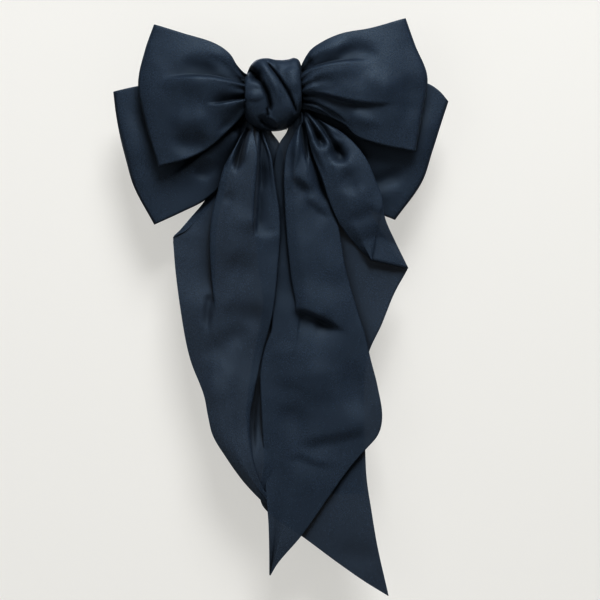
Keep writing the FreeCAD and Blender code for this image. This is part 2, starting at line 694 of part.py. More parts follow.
def hinge_pin():
    body = new_body("hinge_pin")
    half = f"({EAR_OUTSIDE} + sizes.pin_clear)"
    sketch = new_sketch(body, "XY_Plane", "pin_shaft", f"(0 - {half})")
    circle(sketch, PIN_X, PIN_Y, "sizes.pin_radius")
    pad(body, sketch, f"(2 * {half})")
    sketch = new_sketch(body, "XY_Plane", "pin_head", half)
    circle(sketch, PIN_X, PIN_Y, "sizes.pin_head_radius")
    head = pad(body, sketch, "sizes.pin_head_thick")
    mirror(body, "XY_Plane", [head])
    return body


def swing_arm():
    """The arm that closes on the hair: a curved strip with side flanges, a knuckle on the hinge pin
    and a window at its free end that the release tabs' barbs hold."""
    body = new_body("swing_arm")
    half = "(sizes.arm_length / 2)"
    start = f"({PIN_X} + sizes.pin_radius)"
    sketch = new_sketch(body, "XY_Plane", "arm_side")
    curved_strip(sketch, ARM_FRONT, "sizes.arm_thick", ARM_RADIUS, start, f"({half} + 2)", True)
    pad(body, sketch, "sizes.arm_width", both_ways=True)
    sketch = new_sketch(body, "XY_Plane", "arm_flange_side", "(sizes.arm_width / 2 - sizes.flange_thick)")
    curved_strip(
        sketch, "(sizes.hair_gap / 2)", "(sizes.flange_height + sizes.arm_thick / 2)",
        f"({ARM_RADIUS} - sizes.arm_thick / 2)", "(0 - sizes.flange_end)", "sizes.flange_end", True,
    )
    flange = pad(body, sketch, "sizes.flange_thick")
    mirror(body, "XY_Plane", [flange])
    sketch = new_sketch(body, "XY_Plane", "arm_knuckle")
    circle(sketch, PIN_X, PIN_Y, "sizes.knuckle_radius")
    pad(body, sketch, "sizes.arm_width", both_ways=True)
    sketch = new_sketch(body, "XY_Plane", "arm_bore")
    circle(sketch, PIN_X, PIN_Y, "(sizes.pin_radius + sizes.pin_clear)")
    pocket_through(body, sketch)
    sketch = new_sketch(body, "XZ_Plane", "arm_window")
    reach = "(sizes.tab_length / 2 + sizes.window_clear)"
    inside = "(sizes.tab_inside + sizes.tab_thick + sizes.tab_barb + sizes.side_clear)"
    polygon(sketch, [
        (f"(sizes.tab_middle - {reach})", inside), (f"(sizes.tab_middle + {reach})", inside),
        (f"(sizes.tab_middle + {reach})", f"(0 - {inside})"), (f"(sizes.tab_middle - {reach})", f"(0 - {inside})"),
    ])
    pocket_through(body, sketch)
    return body


def tension_bar():
    body = new_body("tension_bar")
    half = "(sizes.bar_length / 2)"
    sketch = new_sketch(body, "XY_Plane", "bar_side")
    curved_strip(sketch, f"({BAR_BACK} - sizes.bar_thick)", "sizes.bar_thick", BAR_RADIUS,
                 f"(0 - {half})", half, True)
    pad(body, sketch, "sizes.bar_width", both_ways=True)
    return body


def clasp_bracket():
    """The riveted bracket that carries the two release tabs between its lugs."""
    body = new_body("clasp_bracket")
    sketch = new_sketch(body, "XY_Plane", "bracket_side")
    curved_strip(sketch, PLATE_BACK, "sizes.bracket_thick", PLATE_RADIUS,
                 "sizes.bracket_start", "sizes.bracket_end", False)
    pad(body, sketch, "sizes.bracket_width", both_ways=True)
    reach = "(sizes.tab_length / 2 + sizes.side_clear)"
    for name, near in (
        ("inner_lug", f"(sizes.tab_middle - {reach} - sizes.lug_thick)"),
        ("outer_lug", f"(sizes.tab_middle + {reach})"),
    ):
        sketch = new_sketch(body, "XY_Plane", name)
        foot = f"({plate_back_at(near)} + sizes.bracket_thick / 2)"
        top = f"({TAB_FOOT} + 2 * sizes.tab_thick)"
        far = f"({near} + sizes.lug_thick)"
        polygon(sketch, [(near, foot), (far, foot), (far, top), (near, top)])
        pad(body, sketch, "(2 * (sizes.tab_inside + sizes.tab_thick))", both_ways=True)
    rivet_hole(body, "bracket_rivet_hole")
    return body


TAB_OUTER = "(sizes.tab_middle + sizes.tab_length / 2)"
TAB_FOOT = f"({plate_back_at(TAB_OUTER)} + sizes.bracket_thick + sizes.side_clear)"


def release_tab(label, side):
    """One prong with an outward barb that holds the arm's window, and a finger pad beside the plate."""
    body = new_body(label)
    sketch = new_sketch(body, "YZ_Plane", f"{label}_end", f"(sizes.tab_middle - sizes.tab_length / 2)")
    inner = "sizes.tab_inside"
    outer = f"({inner} + sizes.tab_thick)"
    arm_back = f"({ARM_FRONT} + sizes.arm_thick - sizes.arm_rise)"
    barb_start = f"({arm_back} + 3 * sizes.side_clear)"
    top = f"({barb_start} + 2 * sizes.tab_thick)"
    ear = f"({TAB_FOOT} + 4 * sizes.tab_thick)"
    pad_top = f"({ear} + sizes.tab_pad)"
    points = [
        (TAB_FOOT, inner), (top, inner), (top, outer), (barb_start, f"({outer} + sizes.tab_barb)"),
        (barb_start, outer), (f"({ear} + sizes.tab_thick)", outer),
        (f"({ear} + sizes.tab_thick)", "(sizes.tab_reach - sizes.tab_thick)"),
        (pad_top, "(sizes.tab_reach - sizes.tab_thick)"), (pad_top, "sizes.tab_reach"),
        (ear, "sizes.tab_reach"), (ear, outer), (TAB_FOOT, outer),
    ]
    if side < 0:
        points = [(across, f"(0 - {up})") for across, up in points]
    polygon(sketch, points)
    pad(body, sketch, "sizes.tab_length")
    return body


def clasp_rivet():
    """A rivet through the plate and the bracket, square to them."""
    body = new_body("clasp_rivet")
    sketch = new_sketch(body, "XY_Plane", "rivet_half")
    square_to_plate(sketch, "sizes.rivet_place")
    clear = "(sizes.rivet_clear / 2)"
    front = f"(0 - sizes.plate_thick - {clear})"
    back = f"(sizes.bracket_thick + {clear})"
    shank, head = "sizes.rivet_radius", "sizes.rivet_head_radius"
    front_top = f"({front} - sizes.rivet_head_thick)"
    back_top = f"({back} + sizes.rivet_head_thick)"
    polygon(sketch, [
        ("0", front_top), (head, front_top), (head, front), (shank, front),
        (shank, back), (head, back), (head, back_top), ("0", back_top),
    ])
    turned = body.newObject("PartDesign::Revolution", "rivet_turned")
    turned.Profile = sketch
    turned.ReferenceAxis = (sketch, ["V_Axis"])
    turned.Angle = 360
    sketch.Visibility = False
    return body


def barrette_stitches():
    body = new_body("barrette_stitches")
    thread = "sizes.sewing_thread"
    front = f"(({FELT_FRONT} + {FELT_BACK}) / 2)"
    back = f"({plate_back_at('sizes.sewing_place')} + {thread} * 0.75)"
    half = "sizes.sewing_half"
    path = new_sketch(body, "YZ_Plane", "sewing_path", "sizes.sewing_place")
    staple_path(path, [(front, half), (back, half), (back, f"(0 - {half})"), (front, f"(0 - {half})")], thread)
    section = new_sketch(body, "XZ_Plane", "sewing_section", f"(0 - {front})")
    circle(section, "sizes.sewing_place", half, f"({thread} / 2)")
    pipe = sweep(body, section, path)
    mirror(body, "YZ_Plane", [pipe])
    return body


def build():
    fill_sheet()
    parts = [
        loops("upper_bow", UPPER_BOW, "sizes.upper_fullness", UPPER_FRONT, UPPER_BACK),
        loops("lower_bow", LOWER_BOW, "sizes.lower_fullness", LOWER_FRONT, LOWER_BACK),
        strip("front_strip", "front_left_leg", "front_right_leg", FRONT_STRIP_FRONT, FRONT_STRIP_BACK),
        strip("back_strip", "back_left_leg", "back_right_leg", BACK_STRIP_FRONT, BACK_STRIP_BACK),
    ]
    front = FRONT_STRIP_FRONT
    for label in ("front_right_tail", "front_left_tail", "back_right_tail", "back_left_tail"):
        parts.append(tail(label, front))
        front = f"({front} + sizes.strip_thick + sizes.layer_gap)"
    parts += [knot_band(), waist_thread(), knot_stitches(), felt_backing()]
    parts += [base_plate(), hinge_pin(), swing_arm(), tension_bar(), clasp_bracket(), clasp_rivet()]
    parts += [release_tab("upper_release_tab", 1), release_tab("lower_release_tab", -1), barrette_stitches()]
    return parts


def write_parts(parts):
    """Checks every object and sub-part, then writes one STEP file for each sub-part."""
    doc.recompute()
    for item in doc.Objects:
        if "Invalid" in item.State or "Error" in item.State:
            raise RuntimeError(f"{item.Name} did not compute: {item.State}")
    for part in parts:
        if part.Shape.isNull() or not part.Shape.isValid() or not part.Shape.Solids:
            raise RuntimeError(f"{part.Label} is not a valid solid")
    os.makedirs("parts", exist_ok=True)
    for part in parts:
        part.Shape.exportStep(os.path.join("parts", f"{part.Label}.step"))
        print(part.Label, len(part.Shape.Solids), round(part.Shape.Volume, 1))


write_parts(build())
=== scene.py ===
import json
import math

import bpy
import numpy as np
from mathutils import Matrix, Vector, noise


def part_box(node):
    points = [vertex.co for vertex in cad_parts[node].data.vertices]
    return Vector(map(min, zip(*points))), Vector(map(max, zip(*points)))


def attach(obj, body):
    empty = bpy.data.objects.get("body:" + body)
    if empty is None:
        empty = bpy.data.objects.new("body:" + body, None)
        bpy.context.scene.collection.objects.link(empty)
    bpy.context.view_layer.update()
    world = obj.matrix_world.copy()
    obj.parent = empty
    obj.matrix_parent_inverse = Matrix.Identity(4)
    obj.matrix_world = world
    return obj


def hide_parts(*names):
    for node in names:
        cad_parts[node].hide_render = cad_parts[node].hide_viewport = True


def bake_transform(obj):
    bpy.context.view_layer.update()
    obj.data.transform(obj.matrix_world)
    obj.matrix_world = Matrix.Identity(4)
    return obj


# A dark satin hair bow on a spring barrette. The satin is built here as sheets, in millimetres, and the
# barrette is the CAD model's own. Seen from the front, +X is right, +Z is up and -Y is towards the viewer.

MM = 0.001
SATIN_THICK = 0.55  # one tail or one side of a loop, two thin layers of satin pressed together
KNOT_THICK = 0.9  # the knot's band, folded over itself
SPACING = 1.3  # the usual distance between the points of a sheet
CREASE_POINTS = 40  # how many places stand for the line of a crease
DENSE_POINTS = 400  # how many places a curve is measured by
SATIN_GLOSS = 0.34  # the shader's specular level on open satin, which painted shade lowers in the depth of folds
SATIN_ALPHA = 0.89  # each face of the satin lets a little through, so one thickness looks paler than two

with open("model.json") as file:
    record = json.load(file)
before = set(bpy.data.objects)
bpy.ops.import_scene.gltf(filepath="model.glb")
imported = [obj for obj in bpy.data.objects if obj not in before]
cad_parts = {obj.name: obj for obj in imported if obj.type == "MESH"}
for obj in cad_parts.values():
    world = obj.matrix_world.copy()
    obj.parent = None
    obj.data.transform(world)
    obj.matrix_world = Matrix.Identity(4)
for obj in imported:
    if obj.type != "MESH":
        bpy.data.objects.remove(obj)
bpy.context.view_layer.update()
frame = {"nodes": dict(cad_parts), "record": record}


def place(node):
    """A CAD node's box in millimetres: its lowest and highest corner."""
    low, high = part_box(node)
    return np.array(low) / MM, np.array(high) / MM


KNOT_LOW, KNOT_HIGH = place("knot_band")
UPPER_BACK = place("upper_bow")[1][1]
LOWER_FRONT = place("lower_bow")[0][1]
FRONT_STRIP_LOW, FRONT_STRIP_HIGH = place("front_strip")
BACK_STRIP_LOW, BACK_STRIP_HIGH = place("back_strip")

# The middles of the layers in depth, front to back, from the CAD model.
LOOP_INSET = 1.8  # from the flat side of a bow's ring in to the middle of its cloth
UPPER_Y = UPPER_BACK - LOOP_INSET
FRONT_Y = (FRONT_STRIP_LOW[1] + FRONT_STRIP_HIGH[1]) / 2
BACK_Y = (BACK_STRIP_LOW[1] + BACK_STRIP_HIGH[1]) / 2
LOWER_Y = LOWER_FRONT + LOOP_INSET
TAIL_BACK_Y = place("back_left_tail")[1][1]


# ---- curves and sheets ----


def smooth(knots, values, at):
    """A smooth curve through values at rising knots, read at the places asked for (numpy in, numpy out)."""
    knots = np.asarray(knots, float)
    values = np.asarray(values, float)
    slope = np.diff(values, axis=0) / np.diff(knots).reshape((-1,) + (1,) * (values.ndim - 1))
    tangent = np.concatenate([slope[:1], (slope[1:] + slope[:-1]) / 2, slope[-1:]])
    at = np.clip(at, knots[0], knots[-1])
    i = np.clip(np.searchsorted(knots, at, side="right") - 1, 0, len(knots) - 2)
    width = knots[i + 1] - knots[i]
    t = (at - knots[i]) / width
    if values.ndim > 1:
        t, width = t[..., None], width[..., None]
    h1 = 2 * t**3 - 3 * t**2 + 1
    h2 = t**3 - 2 * t**2 + t
    h3 = -2 * t**3 + 3 * t**2
    h4 = t**3 - t**2
    return h1 * values[i] + h2 * width * tangent[i] + h3 * values[i + 1] + h4 * width * tangent[i + 1]


def down(table, z):
    """Reads a (height, value) table, given from the top down, at the heights z."""
    table = np.array(table, float)
    return smooth(-table[:, 0], table[:, 1], -np.asarray(z))


def path(points, count):
    """count places evenly along a smooth curve through points."""
    points = np.array(points, float)
    length = np.concatenate([[0], np.cumsum(np.linalg.norm(np.diff(points, axis=0), axis=1))])
    dense = smooth(length, points, np.linspace(0, length[-1], DENSE_POINTS))
    true = np.concatenate([[0], np.cumsum(np.linalg.norm(np.diff(dense, axis=0), axis=1))])
    at = np.linspace(0, true[-1], count)
    return np.stack([np.interp(at, true, dense[:, k]) for k in range(dense.shape[1])], axis=1)


def ease(t):
    """A soft step: 0 up to t = 0, 1 from t = 1, and an S-shaped rise between them."""
    t = np.clip(t, 0, 1)
    return t * t * (3 - 2 * t)


def near_line(points, line):
    """For each point seen from the front: how far it is from a line, on which side, and how far along."""
    curve = path(line, CREASE_POINTS)
    x, z = points[..., 0], points[..., 2]
    best = np.full(x.shape, 1e9)
    side = np.zeros(x.shape)
    along = np.zeros(x.shape)
    for i in range(len(curve) - 1):
        a, b = curve[i], curve[i + 1]
        d = b - a
        t = np.clip(((x - a[0]) * d[0] + (z - a[1]) * d[1]) / (d @ d), 0, 1)
        ox, oz = x - a[0] - t * d[0], z - a[1] - t * d[1]
        far = np.hypot(ox, oz)
        closer = far < best
        best = np.where(closer, far, best)
        side = np.where(closer, np.sign(d[0] * oz - d[1] * ox), side)
        along = np.where(closer, (i + t) / (len(curve) - 1), along)
    return best, side, along


def fading(along, fade_in, fade_out):
    """A strength from 0 to 1: rising over the first part of a line and falling over its last part."""
    rise = ease(along / fade_in) if fade_in else 1.0
    fall = ease((1 - along) / fade_out) if fade_out else 1.0
    return rise * fall


def valley(points, line, depth, width, fade_in=0.1, fade_out=0.5, mask=1.0):
    """Presses a soft valley into the front of a sheet along a line. A negative depth raises a ridge."""
    far, _, along = near_line(points, line)
    strength = fading(along, fade_in, fade_out)
    width = width * (0.5 + 0.5 * strength)
    points[..., 1] += depth * np.exp(-((far / width) ** 2)) * strength * mask


def fold(points, line, height, sharp, soft, fade_in=0.1, fade_out=0.4, mask=1.0):
    """A pressed fold along a line: the sheet rises softly to it from the left, looking along the line, and
    drops behind it on the right within a short distance. A negative height turns the sides round."""
    far, side, along = near_line(points, line)
    if height < 0:
        side, height = -side, -height
    rise = np.where(side > 0, np.exp(-((far / soft) ** 2)), 0)
    drop = np.where(side <= 0, np.exp(-((far / soft) ** 2)) * ease(far / sharp), 0)
    edge = np.where(side <= 0, 1 - ease(far / sharp), 0)
    lift = 0.6
    shape = drop - rise * lift - edge * lift
    points[..., 1] += height * shape * fading(along, fade_in, fade_out) * mask


def ripple(points, size, depth, seed):
    """Slow, uneven undulation over a sheet."""
    flat = points.reshape(-1, 3)
    for p in flat:
        p[1] += depth * noise.noise(Vector((p[0] / size + seed, p[2] / size, seed * 1.7)))


def rounded(points, times):
    """Rounds the folds of each row of a sheet by averaging neighbours, with the row's ends held."""
    for _ in range(times):
        inner = (points[:, :-2] + 2 * points[:, 1:-1] + points[:, 2:]) / 4
        points = np.concatenate([points[:, :1], inner, points[:, -1:]], axis=1)
    return points


def pleated(columns, counts):
    """A sheet from its fold lines: columns are (rows, 3) arrays from one side to the other, and counts how
    many points to put between each pair."""
    pieces = []
    for a, b, n in zip(columns[:-1], columns[1:], counts):
        t = np.linspace(0, 1, n, endpoint=False)[None, :, None]
        pieces.append(a[:, None, :] * (1 - t) + b[:, None, :] * t)
    pieces.append(columns[-1][:, None, :])
    return np.concatenate(pieces, axis=1)


def placed(name, data):
    """A new object in the scene."""
    made = bpy.data.objects.new(name, data)
    bpy.context.scene.collection.objects.link(made)
    return made


def sheet_mesh(name, grids, ring=False, thick=SATIN_THICK):
    """An object of one or more grids of points, given an even thickness. ring closes the rows' direction."""
    verts, faces = [], []
    for grid in grids:
        rows, cols = grid.shape[:2]
        start = len(verts)
        verts += [tuple(p) for p in (grid.reshape(-1, 3) * MM)]
        for i in range(rows if ring else rows - 1):
            for j in range(cols - 1):
                a = start + i * cols + j
                b = start + ((i + 1) % rows) * cols + j
                faces.append((a, a + 1, b + 1, b))
    mesh = bpy.data.meshes.new(name)
    mesh.from_pydata(verts, [], faces)
    piece = placed(name, mesh)
    skin = piece.modifiers.new("cloth thickness", "SOLIDIFY")
    skin.thickness = thick * MM
    skin.offset = 0
    return applied(piece)


def applied(piece):
    """The piece with its modifiers worked into its mesh."""
    bpy.context.view_layer.update()
    worked = piece.evaluated_get(bpy.context.evaluated_depsgraph_get())
    mesh = bpy.data.meshes.new_from_object(worked)
    piece.modifiers.clear()
    piece.data = mesh
    mesh.shade_smooth()
    return piece


# ---- the bows' loops ----

WAIST_INSET = 2.5  # how far inside the knot's ends the loops begin


def coons(top, bottom, waist, outer, rows, cols):
    """A surface seen from the front, filling four boundary curves. Its rows run from the waist outwards and
    its columns from the top edge to the bottom edge."""
    top, bottom = path(top, rows)[:, None], path(bottom, rows)[:, None]
    waist, outer = path(waist, cols)[None], path(outer, cols)[None]
    s = np.linspace(0, 1, rows)[:, None, None]
    t = np.linspace(0, 1, cols)[None, :, None]
    edges = (1 - t) * top + t * bottom + (1 - s) * waist + s * outer
    corners = (1 - s) * (1 - t) * top[0, 0] + s * (1 - t) * top[-1, 0]
    corners = corners + (1 - s) * t * bottom[0, 0] + s * t * bottom[-1, 0]
    flat = edges - corners
    grid = np.zeros((rows, cols, 3))
    grid[..., 0], grid[..., 2] = flat[..., 0], flat[..., 1]
    return grid, s[..., 0], t[..., 0]


def loop_runs(outline, waist_y, lean, front_full, back_full, gathers, phase):
    """The front and back runs of one loop, from the waist to the outer fold, which they share. Its middle is
    at waist_y at the waist and lean further back at the fold. front_full and back_full are how far it
    puffs out, and gathers and phase place its small pleats."""
    rows, cols = 62, 74
    pleat_height = 1.1
    middle = waist_y + lean * np.linspace(0, 1, rows)[:, None]
    grid, s, t = coons(*outline, rows, cols)
    crown = 0.3 + 0.7 * (1 - (2 * t - 1) ** 2)
    swell = np.sin(math.pi * s**0.75) ** 0.9 * crown
    lip = 1.5 * np.sqrt(np.clip(1 - s**14, 0, 1))
    pinch = np.sin(2 * math.pi * gathers * t + phase) * np.exp(-s / 0.16)
    front, back = grid.copy(), grid.copy()
    front[..., 1] = middle - lip - front_full * swell + pleat_height * pinch
    back[..., 1] = middle + lip + back_full * swell + pleat_height * np.roll(pinch, 5, axis=1)
    return front, back


def ring_of(left, right):
    """One sewn ring of satin: left back, left front, right front and right back runs, end to end."""
    left_front, left_back = left
    right_front, right_back = right
    runs = [left_back, left_front[::-1][1:], right_front, right_back[::-1][1:]]
    return np.concatenate(runs)


def upper_bow():
    """The front ring: its two loops stand in front of everything but the knot."""
    half = KNOT_HIGH[0] - WAIST_INSET
    waist_y, lean = UPPER_Y - 0.6, -0.4
    left = loop_runs(
        (
            [(-half, 10.5), (-19.5, 12.5), (-24, 17.5), (-28.3, 24), (-36.4, 30), (-59, 37.6), (-77.4, 43.6)],
            [(-half, -11), (-20, -15), (-28.3, -24), (-41.3, -35.8), (-56, -43.5), (-74.6, -48.4)],
            [(-half, 10.5), (-half, 0), (-half, -11)],
            [(-77.4, 43.6), (-83.5, 26), (-87.6, 5), (-82.5, -22), (-74.6, -48.4)],
        ),
        waist_y, lean, front_full=8.5, back_full=1.2, gathers=5, phase=0.6,
    )
    right = loop_runs(
        (
            [(half, 11), (19, 19), (24, 26.5), (30.2, 31), (43.2, 36.9), (62.7, 40.8), (85.2, 47.5)],
            [(half, -10), (24, -12), (34, -15.5), (46, -21.5), (53, -28.5), (66, -33.5), (91.7, -38.7)],
            [(half, 11), (half, 0), (half, -10)],
            [(85.2, 47.5), (91.5, 30), (99.3, 9.8), (96.5, -12), (91.7, -38.7)],
        ),
        waist_y, lean, front_full=9, back_full=1.2, gathers=6, phase=2.0,
    )
    upper_left_creases(left[0])
    upper_right_creases(right[0])
    for i, run in enumerate(left + right):
        ripple(run, 26, 1.1, 3 + i)
        ripple(run, 9, 0.25, 13 + i)
    piece = sheet_mesh("upper_bow_satin", [ring_of(left, right)], ring=True)
    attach(piece, "bow")
    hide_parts("upper_bow")
    return piece


def upper_left_creases(front):
    fold(front, [(-16, 2.4), (-31.5, 5.7), (-43, 7.6), (-56, 7.8), (-74, 6.4)], 5.2, 2.6, 12, 0.02, 0.5)
    fold(front, [(-16, -6), (-26, -7.8), (-34, -9.4), (-44, -9.8)], 4.0, 2.0, 8, 0.02, 0.5)
    valley(front, [(-77, 3.5), (-60, 5), (-40, 4)], -0.8, 5, 0.3, 0.3)
    valley(front, [(-16, 9), (-24, 13), (-33, 18), (-46, 24)], 1.6, 4, 0.05, 0.5)
    valley(front, [(-39, -30), (-52, -35), (-68, -31)], 3.2, 7, 0.35, 0.4)
    valley(front, [(-17, -10), (-27, -19), (-38, -28)], 2.2, 3.0, 0.05, 0.4)
    valley(front, [(-34, 13), (-48, 16), (-62, 18)], 1.6, 6, 0.3, 0.4)
    valley(front, [(-40, -17), (-56, -19), (-70, -16)], -1.8, 7, 0.3, 0.4)


def upper_right_creases(front):
    fold(front, [(16, 9.2), (27, 13.8), (38.4, 16.6), (50, 18), (63, 18.6)], -4.0, 2.4, 10, 0.02, 0.45)
    valley(front, [(39, 23), (54, 25.5), (70, 21)], 2.8, 6, 0.35, 0.4)
    level = [(16, -0.4), (30, -1), (41.6, -4.1), (53, -6.8), (66, -7.8), (81, -7)]
    fold(front, level, 2.9, 2.0, 12, 0.02, 0.45)
    valley(front, [(24, 4), (34, 4.5), (46, 1)], 1.0, 4, 0.2, 0.4)
    fold(front, [(16, -3.8), (26, -6.2), (36, -11), (44, -16.4), (50, -22)], 1.8, 1.4, 5, 0.02, 0.4)
    valley(front, [(47, -14), (58, -18), (70, -22)], -2.0, 5, 0.3, 0.5)
    fold(front, [(16, -7), (25, -9.6), (33, -13.2), (40, -18)], 1.3, 1.1, 3, 0.02, 0.4)
    valley(front, [(86, 14), (88, -4), (85, -24)], 2.2, 7, 0.4, 0.4)
    valley(front, [(22, 20), (34, 26), (52, 31)], -1.6, 5, 0.1, 0.5)
    valley(front, [(56, 9), (70, 4), (82, 3)], -2.0, 8, 0.3, 0.4)


def lower_bow():
    """The back ring, larger and turned down behind the front one."""
    half = KNOT_HIGH[0] - WAIST_INSET
    waist_y, lean = LOWER_Y + 1.2, 1.0
    left = loop_runs(
        (
            [(-half, 8), (-30, 9), (-60, 8), (-87.6, 5), (-105, 1.4)],
            [
                (-half, -11), (-20, -22), (-27, -45), (-36.4, -62), (-46.2, -70), (-59.2, -76.6),
                (-78.2, -85.5),
            ],
            [(-half, 8), (-half, 0), (-half, -11)],
            [(-105, 1.4), (-103.4, -12), (-100.6, -27.6), (-96.5, -44), (-91.7, -60.1), (-78.2, -85.5)],
        ),
        waist_y, lean, front_full=3.0, back_full=6.5, gathers=5, phase=1.2,
    )
    right = loop_runs(
        (
            [(half, 8), (40, 9.5), (75, 9), (100, 6.7), (108.2, 1.6), (113.9, -4.9)],
            [(half, -11), (20, -22), (33, -45), (50, -66), (62, -75), (79, -82.4)],
            [(half, 8), (half, 0), (half, -11)],
            [(113.9, -4.9), (109.9, -17), (103.4, -37.4), (96.9, -57), (79, -82.4)],
        ),
        waist_y, lean, front_full=3.0, back_full=6.5, gathers=5, phase=0.3,
    )
    lower_front_creases(left[0], right[0])
    for run in (left[1], right[1]):
        lower_back_creases(run)
    for i, run in enumerate(left + right):
        ripple(run, 28, 1.0, 23 + i)
    piece = sheet_mesh("lower_bow_satin", [ring_of(left, right)], ring=True)
    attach(piece, "bow")
    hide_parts("lower_bow")
    return piece


def lower_front_creases(left, right):
    valley(left, [(-44.5, -40), (-46, -49), (-46, -58)], 3.0, 6, 0.4, 0.4)
    fold(left, [(-22, -21), (-32, -29.5), (-43, -38), (-56, -48), (-70, -58)], 4.4, 3.0, 8, 0.1, 0.4)
    valley(left, [(-24, -24), (-38, -38), (-54, -52)], -2.6, 9, 0.1, 0.4)
    valley(left, [(-97, -8), (-93, -40), (-84, -66)], -0.9, 6, 0.3, 0.3)
    valley(right, [(58, -62), (70, -57), (88, -48)], 3.2, 5, 0.3, 0.4)
    valley(right, [(68, -68), (86, -62)], -0.5, 6, 0.3, 0.4)
    valley(right, [(56, -36), (75, -44), (94, -44)], -0.8, 9, 0.3, 0.4)
    valley(right, [(103, -8), (98, -35), (88, -60)], -0.9, 6, 0.3, 0.3)
    valley(left, [(-58, -12), (-72, -30), (-72, -52)], -3.4, 17, 0.3, 0.4)
    valley(right, [(72, -8), (86, -26), (82, -50)], -3.4, 17, 0.3, 0.4)


def lower_back_creases(run):
    """The same creases on the left and the right loop's back, mirrored."""
    sign = np.sign(run[-1, 0, 0])
    fold(run, [(sign * 17, 0), (sign * 45, -14), (sign * 78, -28)], -2.2, 2.2, 9, 0.05, 0.5)
    fold(run, [(sign * 17, -5), (sign * 34, -30), (sign * 52, -52)], 2.0, 2.2, 8, 0.05, 0.5)
    valley(run, [(sign * 18, 4), (sign * 50, 0), (sign * 80, -6)], -2.0, 4, 0.05, 0.5)


# ---- the tails ----


def column(z, x, y):
    """One fold line of a tail: its place across and in depth at each height, from (height, value) tables."""
    return np.stack([down(x, z), down(y, z), z], axis=1)


def tail_rows(top, bottom):
    return np.linspace(top, bottom, int((top - bottom) / SPACING) + 1)


def finish_tail(name, grids, nodes):
    """A tail's piece, given its thickness, with the CAD nodes that it stands for hidden."""
    piece = sheet_mesh(name, grids)
    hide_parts(*nodes)
    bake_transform(piece)
    return piece


# The left tail's fold lines, from left to right: (height, place across), from the top down.
LEFT_TAIL_ACROSS = {
    "side": [
        (-12, -17), (-25, -23), (-41, -31), (-61, -41), (-71, -47), (-82, -56.4), (-91, -64.1), (-93, -65.9),
        (-94, -66.2), (-95.5, -66), (-117, -64), (-145, -60.1), (-167.4, -56.2), (-176.5, -53.6),
        (-197.3, -45.2), (-210.3, -42.6), (-223.3, -39.3), (-236.3, -31.5), (-254.5, -18.5), (-269.4, -4.2),
        (-276.5, 3.8),
    ],
    "pleat": [
        (-12, -15.5), (-21, -18.5), (-34.8, -25), (-49, -32.8), (-66, -37.4), (-80.3, -40.9), (-96, -42.2),
        (-116.7, -41.3), (-132.3, -39.6), (-150, -37), (-180, -34), (-210, -30), (-236, -24), (-276.5, 4),
    ],
    "inner": [
        (-12, -10.5), (-24, -13), (-39, -10), (-50, -10), (-61, -11), (-90, -12.7), (-110, -13), (-200, -24),
        (-236, -19), (-262, -7), (-276.5, 4),
    ],
    "right": [
        (-12, -4), (-25.7, -6.2), (-41.3, -1), (-60.8, 2.3), (-77.7, 5.1), (-90.7, 5.5), (-114.1, 3.6),
        (-142.7, 0.3), (-171.3, -6.8), (-179, -8.8), (-200, -13.3), (-209, -15.3), (-235, -14), (-262, -5),
        (-276.5, 4.1),
    ],
    "far": [
        (-12, -3), (-25, -1.8), (-32.5, 3.4), (-41, 6), (-60, 8), (-91, 9), (-143, 7), (-178, 2), (-210, 2),
        (-245, 3), (-276.5, 4.4),
    ],
}

# How far its hem and tucks reach in from them: (height, reach). Below 0 a tuck is let out.
LEFT_TAIL_REACH = {
    "hem": [(-12, 0.5), (-40, 5), (-69, 7), (-85, 6), (-90, 5.4), (-92.4, 2.6), (-94.5, 0.4), (-276.5, 0.1)],
    "left": [
        (-12, 2), (-30, 4), (-60, 5), (-100, 5), (-122, 3), (-136, 1), (-146, -1), (-165, -4), (-245, -4),
        (-276.5, -0.1),
    ],
    "inner": [(-12, 1), (-30, 3), (-60, 4), (-80, 3), (-93, 0.5), (-104, -3), (-250, -3), (-276.5, -0.1)],
    "right": [(-12, 1), (-30, 3), (-60, 7), (-140, 9), (-190, 6), (-215, 3), (-235, 0.4), (-276.5, 0.05)],
}

# Its layers' depths: (height, depth), front from FRONT_Y, edge from front, the others from BACK_Y.
LEFT_TAIL_DEPTH = {
    "front": [
        (-12, 0), (-24, -0.5), (-34, -4.5), (-55, -6), (-78, -4.5), (-91, -3.5), (-143, -2), (-174, 1),
        (-215, -2.5), (-245, -2), (-276.5, 1.5),
    ],
    "edge": [(-12, 0), (-24, 0.6), (-41, 1.6), (-80, 1.2), (-132, 0.6), (-160, 1.2), (-276.5, 0.3)],
    "panel": [
        (-12, 0), (-24, 1), (-45, 8.6), (-78, 8.8), (-93.5, 6.5), (-117, 3.5), (-145, 1.2), (-174, 3),
        (-215, -2.5), (-276.5, 0),
    ],
    "under": [(-12, 0), (-60, -0.4), (-120, -0.2), (-276.5, 0)],
}


def left_tail_lines(z):
    """The left tail's fold lines, each kept to the right of the one before it."""
    lines = [down(table, z) for table in LEFT_TAIL_ACROSS.values()]
    for i, gap in enumerate([0.6, 0.6, 0.6, 0.3]):
        lines[i + 1] = np.maximum(lines[i + 1], lines[i] + gap)
    return lines


def arched(x, start, middle, low, high):
    """A depth that goes from low at start to high at middle and beyond."""
    share = np.clip((x - start) / (middle - start), 0, 1)
    return low + (high - low) * np.sin(0.5 * math.pi * share)


